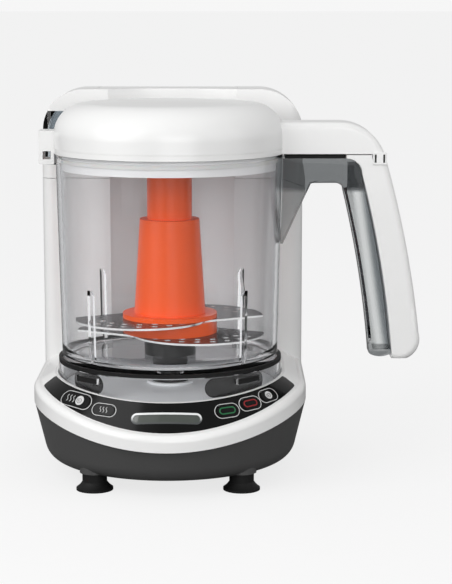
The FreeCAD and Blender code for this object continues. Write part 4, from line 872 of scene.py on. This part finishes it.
@dataclass
class ButtonFace:
    """The face of one button: where it lies, how large it is and how long the line round it is."""

    node: str
    mark: Mark
    outline_length: float
    line: float = 0.42 * MM
    outline_margin: float = 0.62 * MM
    face_depth: float = 1.9 * MM
    height: float = 0.2 * MM
    sink: float = 0.06 * MM
    reach: float = 5.0 * MM
    normal: Vector = field(init=False)
    along: Vector = field(init=False)
    across: Vector = field(init=False)
    centre: Vector = field(init=False)
    length: float = field(init=False)
    width: float = field(init=False)

    def survey(self, nodes: Nodes, joints: Joints) -> None:
        """Measure the face from its CAD node and the way that its joint presses.

        Args:
            nodes: The frame's nodes.
            joints: The frame's joints.
        """
        joint = joint_named(joints, f"{self.node}_press")
        self.normal = -Vector(joint["axis"]).normalized()
        self.along = Vector(UP).cross(self.normal).normalized()
        self.across = self.normal.cross(self.along)
        points = [vertex.co.copy() for vertex in nodes[self.node].data.vertices]
        top = max(point.dot(self.normal) for point in points)
        face = [point for point in points if point.dot(self.normal) > top - self.face_depth]
        spans = []
        for axis in (self.along, self.across):
            values = [point.dot(axis) for point in face]
            spans.append((min(values), max(values)))
        middles = [sum(span) / 2 for span in spans]
        self.length, self.width = (span[1] - span[0] for span in spans)
        self.centre = self.along * middles[0] + self.across * middles[1] + self.normal * top

    def lay(self, mesh: Mesh, surface: BVHTree) -> None:
        """Bend a flat mesh onto a surface.

        Args:
            mesh: A mesh drawn in the face's own plane, with its height along Z.
            surface: What it lies on.
        """
        for vertex in mesh.vertices:
            flat = self.centre + self.along * vertex.co.x + self.across * vertex.co.y
            hit = surface.ray_cast(flat + self.normal * self.reach, -self.normal)[0]
            base = hit if hit is not None else flat
            vertex.co = base + self.normal * (vertex.co.z + self.height / 2 - self.sink)


@dataclass(frozen=True)
class SignShares:
    """The signs' sizes: shares of the face's width, its length or the outline's line, and counts."""

    wave_count: int = 3
    wave_points: int = 13
    wave_gap: float = 0.32
    wave_rise: float = 0.52
    wave_swing: float = 0.08
    wave_line: float = 0.8
    swirl_inner: float = 0.04
    swirl_outer: float = 0.25
    swirl_turns: float = 1.6
    swirl_line: float = 0.6
    swirl_points: int = 28
    disc_radius: float = 0.36
    disc_points: int = 40
    waves_shift: float = -0.2
    disc_shift: float = 0.18
    bar_length: float = 0.76
    bar_breadth: float = 0.5
    bar_line: float = 1.9
    corner_slack: float = 0.01 * MM
    corner_points: int = 10
    outline_points: int = 72


class ButtonMarks:
    """The outlines and signs on the buttons."""

    def __init__(self, paints: Paints) -> None:
        """Hold the finishes and list the faces.

        Args:
            paints: The finishes.
        """
        self.paints = paints
        self.shares = SignShares()
        self.faces = [
            ButtonFace("steam_blend_button", Mark.STEAM_SWIRL, outline_length=24.4 * MM),
            ButtonFace("steam_button", Mark.STEAM, outline_length=16.0 * MM),
            ButtonFace("start_button", Mark.RUN, outline_length=15.8 * MM),
            ButtonFace("stop_button", Mark.HALT, outline_length=15.6 * MM),
            ButtonFace("blend_button", Mark.SWIRL, outline_length=15.2 * MM),
        ]

    def outline(
        self, face: ButtonFace, length: float, breadth: float, line: float, ink: PlasticFinish
    ) -> Mesh:
        """Make a round-ended line round a button's middle.

        Args:
            face: The button's face.
            length: The line's length along the face.
            breadth: Its breadth across the face.
            line: How wide the line is.
            ink: The line's finish.

        Returns:
            The flat outline.
        """
        sizes = {
            "Length": length,
            "Breadth": breadth,
            "Corner": breadth / 2 - self.shares.corner_slack,
            "Line": line,
            "Height": face.height,
        }
        tree = FlatTree(f"{face.node}_{ink.name}_outline", sizes, self.paints.get(ink))
        frame = tree.add(
            "GeometryNodeCurvePrimitiveQuadrilateral",
            Width=tree.given["Length"], Height=tree.given["Breadth"],
        )
        bend = tree.add(
            "GeometryNodeFilletCurve", mode="POLY", Curve=frame.outputs["Curve"],
            Count=self.shares.corner_points, Radius=tree.given["Corner"],
        )
        points = tree.add(
            "GeometryNodeResampleCurve", Curve=bend.outputs["Curve"], Count=self.shares.outline_points,
        )
        return tree.run(tree.stroke(points.outputs["Curve"]))

    def waves(self, face: ButtonFace, shift: float) -> Mesh:
        """Make a row of rising waves.

        Args:
            face: The button's face.
            shift: Place along the face.

        Returns:
            The flat sign.
        """
        shares = self.shares
        sizes = {
            "Count": shares.wave_count,
            "Gap": face.width * shares.wave_gap,
            "Rise": face.width * shares.wave_rise,
            "Swing": face.width * shares.wave_swing,
            "Line": face.line * shares.wave_line,
            "Height": face.height,
        }
        tree = FlatTree(f"{face.node}_waves", sizes, self.paints.get(INK_WHITE))
        top = tree.add("ShaderNodeCombineXYZ", Y=tree.given["Rise"])
        line = tree.add(
            "GeometryNodeMeshLine", mode="END_POINTS", count_mode="TOTAL",
            Count=shares.wave_points, Offset=top.outputs["Vector"],
        )
        index = tree.add("GeometryNodeInputIndex").outputs["Index"]
        phase = tree.calc("MULTIPLY", index, 2 * math.pi / (shares.wave_points - 1))
        swing = tree.calc("MULTIPLY", tree.calc("SINE", phase), tree.given["Swing"])
        aside = tree.add("ShaderNodeCombineXYZ", X=swing)
        bend = tree.add(
            "GeometryNodeSetPosition", Geometry=line.outputs["Mesh"], Offset=aside.outputs["Vector"],
        )
        curve = tree.add("GeometryNodeMeshToCurve", Mesh=bend.outputs["Geometry"])
        step = tree.add("ShaderNodeCombineXYZ", X=tree.given["Gap"])
        row = tree.add(
            "GeometryNodeMeshLine", mode="OFFSET", Count=tree.given["Count"], Offset=step.outputs["Vector"],
        )
        copies = tree.add(
            "GeometryNodeInstanceOnPoints", Points=row.outputs["Mesh"],
            Instance=tree.stroke(curve.outputs["Curve"]),
        )
        first = shift - face.width * shares.wave_gap * (shares.wave_count - 1) / 2
        return moved(tree.run(copies.outputs["Instances"]), first, -face.width * shares.wave_rise / 2, 0.0)

    def swirl(self, face: ButtonFace, shift: float) -> Mesh:
        """Make a swirl.

        Args:
            face: The button's face.
            shift: Place along the face.

        Returns:
            The flat sign.
        """
        shares = self.shares
        sizes = {
            "Inner": face.width * shares.swirl_inner,
            "Outer": face.width * shares.swirl_outer,
            "Turns": shares.swirl_turns,
            "Line": face.line * shares.swirl_line,
            "Height": face.height,
        }
        tree = FlatTree(f"{face.node}_swirl", sizes, self.paints.get(INK_DARK))
        spiral = tree.add(
            "GeometryNodeCurveSpiral", Resolution=shares.swirl_points, Rotations=tree.given["Turns"],
            Start_Radius=tree.given["Inner"], End_Radius=tree.given["Outer"], Height=0.0,
        )
        return moved(tree.run(tree.stroke(spiral.outputs["Curve"])), shift, 0.0, face.height / 2)

    def disc(self, face: ButtonFace, shift: float) -> Mesh:
        """Make a filled disc.

        Args:
            face: The button's face.
            shift: Place along the face.

        Returns:
            The flat disc.
        """
        sizes = {"Radius": face.width * self.shares.disc_radius, "Height": face.height}
        tree = FlatTree(f"{face.node}_disc", sizes, self.paints.get(INK_WHITE))
        rim = tree.add(
            "GeometryNodeCurvePrimitiveCircle",
            Resolution=self.shares.disc_points, Radius=tree.given["Radius"],
        )
        fill = tree.add("GeometryNodeFillCurve", mode="NGONS", Curve=rim.outputs["Curve"])
        lift = tree.add(
            "GeometryNodeExtrudeMesh", Mesh=fill.outputs["Mesh"], Offset_Scale=tree.given["Height"],
        )
        base = tree.add("GeometryNodeFlipFaces", Mesh=fill.outputs["Mesh"])
        both = tree.add("GeometryNodeJoinGeometry")
        for part in (lift, base):
            tree.feed(both.inputs["Geometry"], part.outputs["Mesh"])
        return moved(tree.run(both.outputs["Geometry"]), shift, 0.0, -face.height / 2)

    def build(self, frame: dict) -> None:
        """Make each button's outline, which rides on the base, and its signs, which ride on the button.

        Args:
            frame: The loaded frame.
        """
        panel = surface_of(frame["nodes"]["control_panel"])
        for face in self.faces:
            face.survey(frame["nodes"], frame["joints"])
            breadth = face.width + face.outline_margin * 2
            ring = self.outline(face, face.outline_length, breadth, face.line, INK_WHITE)
            face.lay(ring, panel)
            add_piece(f"{face.node}_ring", ring, "base")
            top = surface_of(frame["nodes"][face.node])
            for index, mesh in enumerate(self.signs(face)):
                face.lay(mesh, top)
                add_piece(f"{face.node}_sign_{index}", mesh, face.node)

    def signs(self, face: ButtonFace) -> list[Mesh]:
        """Make the flat signs that a button's mark asks for.

        Args:
            face: The button's face.

        Returns:
            The signs, lowest first.
        """
        shares = self.shares
        shared = face.length if face.mark is Mark.STEAM_SWIRL else 0.0
        made = []
        if face.mark in (Mark.STEAM, Mark.STEAM_SWIRL):
            made.append(self.waves(face, shared * shares.waves_shift))
        if face.mark in (Mark.SWIRL, Mark.STEAM_SWIRL):
            made.append(self.disc(face, shared * shares.disc_shift))
            made.append(self.swirl(face, shared * shares.disc_shift))
        if face.mark in (Mark.RUN, Mark.HALT):
            ink = INK_GREEN if face.mark is Mark.RUN else INK_RED
            length, breadth = face.length * shares.bar_length, face.width * shares.bar_breadth
            made.append(self.outline(face, length, breadth, face.line * shares.bar_line, ink))
        return made


def moved(mesh: Mesh, x: float, y: float, z: float) -> Mesh:
    """Shift a mesh.

    Args:
        mesh: The mesh.
        x: How far along X.
        y: How far along Y.
        z: How far along Z.

    Returns:
        The same mesh.
    """
    mesh.transform(Matrix.Translation((x, y, z)))
    return mesh


def add_piece(name: str, mesh: Mesh, body: str) -> Object:
    """Put a finished mesh into the scene, on a body.

    Args:
        name: The piece's name.
        mesh: Its mesh, in place.
        body: The body that it rides on.

    Returns:
        The piece.
    """
    work = welded(mesh, WELD)
    bmesh.ops.recalc_face_normals(work, faces=work.faces)
    work.to_mesh(mesh)
    work.free()
    mesh.name = name
    piece = put(name, mesh)
    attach(piece, body)
    LOG.info("made %s on %s", name, body)
    return piece


@dataclass
class HandleRail:
    """The smoky rail of the handle, with the long edges that the fingers go round made round."""

    node: str = "handle_rail"
    edge_round: float = 5.2 * MM
    segments: int = 6
    gusset: float = 18.0 * MM
    foot: float = 2.0 * MM
    merge: float = 0.005 * MM
    flat_angle: float = 0.5
    sharp_angle: float = 30.0
    hand_tilt: float = 0.3
    side_tilt: float = 0.9
    face_tilt: float = 0.1

    def build(self, nodes: Nodes, paints: Paints) -> None:
        """Make the rail from its CAD node and let it stand for that.

        Args:
            nodes: The frame's nodes.
            paints: The finishes.
        """
        low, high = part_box(self.node)
        mesh = nodes[self.node].data.copy()
        work = welded(mesh, self.merge)
        flat = math.radians(self.flat_angle)
        bmesh.ops.dissolve_limit(work, angle_limit=flat, verts=work.verts, edges=work.edges)
        edges = [edge for edge in work.edges if self.is_gripped(edge, low, high)]
        bmesh.ops.bevel(
            work, geom=edges, offset=self.edge_round, segments=self.segments, affect="EDGES", profile=ROUND,
        )
        work.to_mesh(mesh)
        work.free()
        mesh.materials.clear()
        mesh.materials.append(paints.get(SMOKY_DARK))
        mesh.shade_smooth()
        mesh.set_sharp_from_angle(angle=math.radians(self.sharp_angle))
        piece = add_piece("grip_rail", mesh, "bowl")
        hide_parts(self.node)

    def is_gripped(self, edge: bmesh.types.BMEdge, low: Vector, high: Vector) -> bool:
        """Tell whether an edge runs along the hollow of the hand.

        Args:
            edge: The edge.
            low: The rail's lowest corner.
            high: The rail's highest corner.

        Returns:
            True on the edges between the rail's sides and its face towards the bowl.
        """
        if len(edge.link_faces) != 2:
            return False
        side, face = sorted(edge.link_faces, key=lambda item: -abs(item.normal.y))
        gaps = [min(abs(vertex.co.y - low[1]), abs(vertex.co.y - high[1])) for vertex in edge.verts]
        at_side = max(gaps) < self.merge and abs(side.normal.y) > self.side_tilt
        to_hand = max(-face.normal.x, -face.normal.z) > self.hand_tilt
        faces_hand = to_hand and abs(face.normal.y) < self.face_tilt
        middle = (edge.verts[0].co + edge.verts[1].co) / 2
        in_reach = middle.x > low[0] + self.gusset and middle.z > low[2] + self.foot
        return at_side and faces_hand and in_reach


@dataclass
class BridgeGapShadow:
    """A dark strip on the handle's bridge under the lid's arm, painted shadow of the gap between them."""

    left: float = 36.2 * MM
    right: float = 73.0 * MM
    half: float = 10.4 * MM
    middle: float = -9.9 * MM
    low: float = 197.3 * MM
    high: float = 199.5 * MM
    bevel: float = 0.4 * MM

    def build(self, paints: Paints) -> None:
        """Make the painted shadow strip and let it ride on the bowl.

        Args:
            paints: The finishes.
        """
        size = Vector((self.right - self.left, self.half * 2, self.high - self.low))
        centre = Vector((self.left + self.right, self.middle * 2, self.low + self.high)) / 2
        pad = bevelled_block(centre, size, self.bevel, paints.get(RUBBER), upper_only=True)
        add_piece("bridge_pad", pad, "bowl")


@dataclass
class HingePlate:
    """The small plate over the hinge's end, with a thin black patch at each side of its middle bar, painted
    shade of a slot.
    """

    joint: str = "lid_hinge"
    cover: str = "handle_cover"
    width: float = 8.4 * MM
    rise: float = 2.4 * MM
    drop: float = 5.2 * MM
    thickness: float = 0.7 * MM
    gap: float = 0.15 * MM
    bevel: float = 0.25 * MM
    slot_width: float = 1.2 * MM
    slot_height: float = 5.0 * MM
    slot_spread: float = 2.6 * MM
    slot_proud: float = 0.06 * MM

    def build(self, joints: Joints, paints: Paints) -> None:
        """Make the plate and the black patches that paint its two slots' shade, and let them ride on the
        bowl.

        Args:
            joints: The frame's joints.
            paints: The finishes.
        """
        hinge = Vector(joint_named(joints, self.joint)["pos_m"])
        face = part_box(self.cover)[0][1] - self.gap
        size = Vector((self.width, self.thickness, self.rise + self.drop))
        centre = Vector((hinge.x, face - self.thickness / 2, hinge.z + (self.rise - self.drop) / 2))
        plate = bevelled_block(centre, size, self.bevel, paints.get(WHITE))
        add_piece("hinge_plate", plate, "bowl")
        # Painted shade: each slot is a thin black patch on the plate's face, not a cut.
        for index, side in enumerate((-1, 1)):
            at = centre + Vector((side * self.slot_spread, -self.thickness / 2, 0.0))
            slot_size = Vector((self.slot_width, self.slot_proud * 2, self.slot_height))
            slot = bevelled_block(at, slot_size, self.slot_proud / 2, paints.get(BLACK))
            add_piece(f"hinge_slot_{index}", slot, "bowl")


def bevelled_block(
    centre: Vector, size: Vector, bevel: float, material: Material,
    upper_only: bool = False, segments: int = 3,
) -> Mesh:
    """Make a block with its edges taken off.

    Args:
        centre: The block's middle.
        size: Its sides.
        bevel: How far its edges are rounded.
        material: Its material.
        upper_only: Whether only the edges of its top are rounded.
        segments: How many faces a rounded edge has.

    Returns:
        The mesh.
    """
    work = bmesh.new()
    bmesh.ops.create_cube(work, size=1.0, matrix=Matrix.LocRotScale(centre, None, size))
    edges = list(work.edges)
    if upper_only:
        edges = [edge for edge in edges if all(vertex.co.z > centre.z for vertex in edge.verts)]
    bmesh.ops.bevel(work, geom=edges, offset=bevel, segments=segments, affect="EDGES", profile=ROUND)
    mesh = mesh_from("block", work)
    mesh.materials.append(material)
    return mesh


@dataclass(frozen=True)
class LugShadePlate:
    """Where one plate begins and ends, in degrees round the bowl's axis."""

    name: str
    first: float
    last: float


@dataclass
class LugShadePlates:
    """The dark round-ended plates inside the front of the bowl's clear skirt, standing partly for the front
    lugs behind it and partly as painted shade where the skirt shows dark.
    """

    ring: str = "bowl_ring"
    radius: float = 65.3 * MM
    thickness: float = 0.4 * MM
    low: float = 58.4 * MM
    high: float = 70.2 * MM
    tip: float = 0.3 * MM
    columns: int = 56
    # Only the front gets plates, where the skirt shows dark: they are partly painted shade.
    plates: tuple[LugShadePlate, ...] = (
        LugShadePlate("left_lug_plate", first=-150.0, last=-126.0),
        LugShadePlate("right_lug_plate", first=-70.0, last=-30.0),
    )

    def build(self, paints: Paints) -> None:
        """Make the plates and let them ride on the bowl.

        Args:
            paints: The finishes.
        """
        for plate in self.plates:
            mesh = self.bent(plate)
            mesh.materials.append(paints.get(BLACK))
            add_piece(plate.name, mesh, "bowl")

    def bent(self, plate: LugShadePlate) -> Mesh:
        """Make one plate, bent round the bowl's axis.

        Args:
            plate: Where it begins and ends.

        Returns:
            The mesh.
        """
        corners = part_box(self.ring)
        axis = (Vector(corners[0]) + Vector(corners[1])) / 2
        middle, end = (self.low + self.high) / 2, (self.high - self.low) / 2
        length = math.radians(plate.last - plate.first) * self.radius
        inner = self.radius - self.thickness
        work = bmesh.new()
        rows = []
        for step in range(self.columns + 1):
            way = length * (1 - math.cos(math.pi * step / self.columns)) / 2
            inset = max(0.0, end - min(way, length - way))
            half = max(math.sqrt(end ** 2 - inset ** 2), self.tip)
            angle = math.radians(plate.first) + way / self.radius
            out = Vector((math.cos(angle), math.sin(angle), 0.0))
            row = []
            for radius, rise in ((self.radius, -half), (self.radius, half), (inner, half), (inner, -half)):
                corner = Vector((axis.x, axis.y, middle + rise)) + out * radius
                row.append(work.verts.new(corner))
            rows.append(row)
        for near, far in zip(rows, rows[1:]):
            for index in range(len(near)):
                after = (index + 1) % len(near)
                work.faces.new((near[index], near[after], far[after], far[index]))
        work.faces.new(rows[0])
        work.faces.new(rows[-1][::-1])
        return mesh_from(plate.name, work)


@dataclass
class BaseScrews:
    """The cross-head screws under the base."""

    node: str = "base_screws"
    recess_length: float = 3.6 * MM
    recess_width: float = 0.8 * MM
    recess_depth: float = 0.9 * MM
    rim_depth: float = 0.05 * MM
    merge: float = 0.005 * MM

    def build(self, nodes: Nodes, paints: Paints) -> None:
        """Cut a cross into each screw's head and let the screws stand for their CAD node.

        Args:
            nodes: The frame's nodes.
            paints: The finishes.
        """
        mesh = mesh_from("cross_screws", welded(nodes[self.node].data, self.merge))
        mesh.materials.append(paints.get(STEEL))
        holder = put("cross_screws", mesh)
        tool = self.crosses(mesh, paints)
        modifier = holder.modifiers.new("recess", "BOOLEAN")
        modifier.operation = "DIFFERENCE"
        modifier.solver = "EXACT"
        modifier.use_self = True
        modifier.object = tool
        cut = baked(holder)
        bpy.data.objects.remove(tool)
        piece = add_piece("cross_screws", cut, "base")
        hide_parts(self.node)

    def crosses(self, mesh: Mesh, paints: Paints) -> Object:
        """Make a cross under each head with Geometry Nodes.

        Args:
            mesh: The screws.
            paints: The finishes.

        Returns:
            An object with all the crosses.
        """
        low = min(vertex.co.z for vertex in mesh.vertices)
        rims = [vertex.co for vertex in mesh.vertices if vertex.co.z < low + self.rim_depth]
        sizes = {"Length": self.recess_length, "Width": self.recess_width, "Depth": self.recess_depth * 2}
        tree = FlatTree("screw_crosses", sizes, paints.get(STEEL))
        bars = tree.add("GeometryNodeJoinGeometry")
        for first, second in (("Length", "Width"), ("Width", "Length")):
            size = tree.add(
                "ShaderNodeCombineXYZ", X=tree.given[first], Y=tree.given[second], Z=tree.given["Depth"],
            )
            bar = tree.add("GeometryNodeMeshCube", Size=size.outputs["Vector"])
            tree.feed(bars.inputs["Geometry"], bar.outputs["Mesh"])
        cross = tree.run(bars.outputs["Geometry"])
        work = bmesh.new()
        for centre in middles(rims, self.recess_length * 2):
            work.from_mesh(moved(cross.copy(), centre.x, centre.y, low))
        return put("crosses", mesh_from("crosses", work))


def middles(points: list[Vector], reach: float) -> list[Vector]:
    """Gather points into groups and return each group's middle.

    Args:
        points: The points.
        reach: How far apart two points of one group may be.

    Returns:
        The middles.
    """
    groups: list[list[Vector]] = []
    for point in points:
        home = next((group for group in groups if (group[0] - point).length < reach), None)
        if home is None:
            groups.append([point])
        else:
            home.append(point)
    return [sum(group, Vector()) / len(group) for group in groups]


@dataclass(frozen=True)
class SoftBox:
    """A square light: its place, the point that it faces, its side and its power in watts."""

    name: str
    at: Place
    to: Place
    size: float
    power: float

    def build(self) -> None:
        """Put the light into the scene."""
        light = bpy.data.lights.new(self.name, "AREA")
        light.size = self.size
        light.energy = self.power
        lamp = put(self.name, light)
        lamp.location = self.at
        aim(lamp, Vector(self.to) - Vector(self.at))


def aim(lamp: Object, way: Vector) -> None:
    """Turn a light.

    Args:
        lamp: The light.
        way: The direction that it shines in.
    """
    lamp.rotation_mode = "QUATERNION"
    lamp.rotation_quaternion = way.to_track_quat("-Z", "Y")


@dataclass
class Studio:
    """The floor, the lights and the camera."""

    camera_at: Place = (0.0001, -1.1509, 0.2916)
    camera_tilt: float = 81.1
    camera_lens: float = 114.0
    sun_power: float = 0.2
    sun_spread: float = 50.0
    sun_way: Place = (0.55, 0.6, -1.0)
    boxes: tuple[SoftBox, ...] = (
        SoftBox("key", at=(-0.9, -0.7, 0.55), to=(-0.03, 0.0, 0.12), size=0.9, power=7.3),
        SoftBox("fill", at=(1.0, -0.6, 0.45), to=(0.0, 0.0, 0.12), size=0.8, power=1.8),
        SoftBox("front", at=(0.25, -1.7, 0.3), to=(0.0, 0.0, 0.12), size=1.0, power=9.8),
    )
    floor_half: float = 60.0
    floor_colour: Colour = (0.18, 0.18, 0.18)
    floor_rough: float = 0.8
    floor_glow: float = 0.768
    backdrop: float = 0.925
    low_light: float = 0.6
    high_light: float = 0.62

    def build(self) -> None:
        """Make all of it."""
        self.make_world()
        self.make_floor()
        self.make_lights()
        self.make_camera()

    def make_world(self) -> None:
        """Make the backdrop, and a soft light that grows from the horizon up to straight overhead."""
        scene = bpy.context.scene
        world = bpy.data.worlds.new("studio")
        world.use_nodes = True
        tree = Tree(world.node_tree)
        way = tree.add("ShaderNodeTexCoord").outputs["Generated"]
        parts = tree.add("ShaderNodeSeparateXYZ", Vector=way)
        rise = tree.add(
            "ShaderNodeMapRange", Value=parts.outputs["Z"], To_Min=self.low_light, To_Max=self.high_light,
        )
        sky = tree.find("BACKGROUND")
        tree.set(sky, Color=level(FULL), Strength=rise.outputs["Result"])
        seen = tree.add("ShaderNodeBackground", Color=level(FULL), Strength=self.backdrop)
        tree.show(
            self.in_view(tree), sky.outputs["Background"], seen.outputs["Background"], "OUTPUT_WORLD",
        )
        scene.world = world
        scene.view_settings.view_transform = "Standard"

    @staticmethod
    def in_view(tree: Tree) -> NodeSocket:
        """Pick out what is looked at, straight or through clear plastic.

        Args:
            tree: The tree of the backdrop or the floor.

        Returns:
            A socket that is one there and nought for light and reflections.
        """
        path = tree.add("ShaderNodeLightPath").outputs
        return tree.calc("MAXIMUM", path["Is Camera Ray"], path["Is Transmission Ray"])

    def make_floor(self) -> None:
        """Make the plain pale floor."""
        half = self.floor_half
        mesh = bpy.data.meshes.new("floor")
        corners = [(-half, -half, 0), (half, -half, 0), (half, half, 0), (-half, half, 0)]
        mesh.from_pydata(corners, [], [(0, 1, 2, 3)])
        floor = put("floor", mesh)
        material, tree, shader = new_material("pale_floor")
        tree.set(
            shader, Base_Color=solid(self.floor_colour), Roughness=self.floor_rough, Specular_IOR_Level=0.0,
            Emission_Color=level(FULL),
            Emission_Strength=tree.calc("MULTIPLY", self.in_view(tree), self.floor_glow),
        )
        mesh.materials.append(material)

    def make_lights(self) -> None:
        """Make the wide sun and the soft boxes."""
        sun = bpy.data.lights.new("sun", "SUN")
        sun.energy = self.sun_power
        sun.angle = math.radians(self.sun_spread)
        aim(put("sun", sun), Vector(self.sun_way))
        for box in self.boxes:
            box.build()

    def make_camera(self) -> None:
        """Put the camera where the photograph was taken from."""
        data = bpy.data.cameras.new("camera")
        data.lens = self.camera_lens
        camera = put("camera", data)
        camera.location = self.camera_at
        camera.rotation_euler = (math.radians(self.camera_tilt), 0.0, 0.0)
        bpy.context.scene.camera = camera


def main() -> None:
    """Build the scene in order."""
    logging.basicConfig(level=logging.INFO, format="%(message)s")
    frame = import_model()
    paints = Paints()
    Studio().build()
    paints.dress_nodes(frame["nodes"])
    ButtonMarks(paints).build(frame)
    HandleRail().build(frame["nodes"], paints)
    BridgeGapShadow().build(paints)
    HingePlate().build(frame["joints"], paints)
    LugShadePlates().build(paints)
    BaseScrews().build(frame["nodes"], paints)


if __name__ == "__main__":
    main()
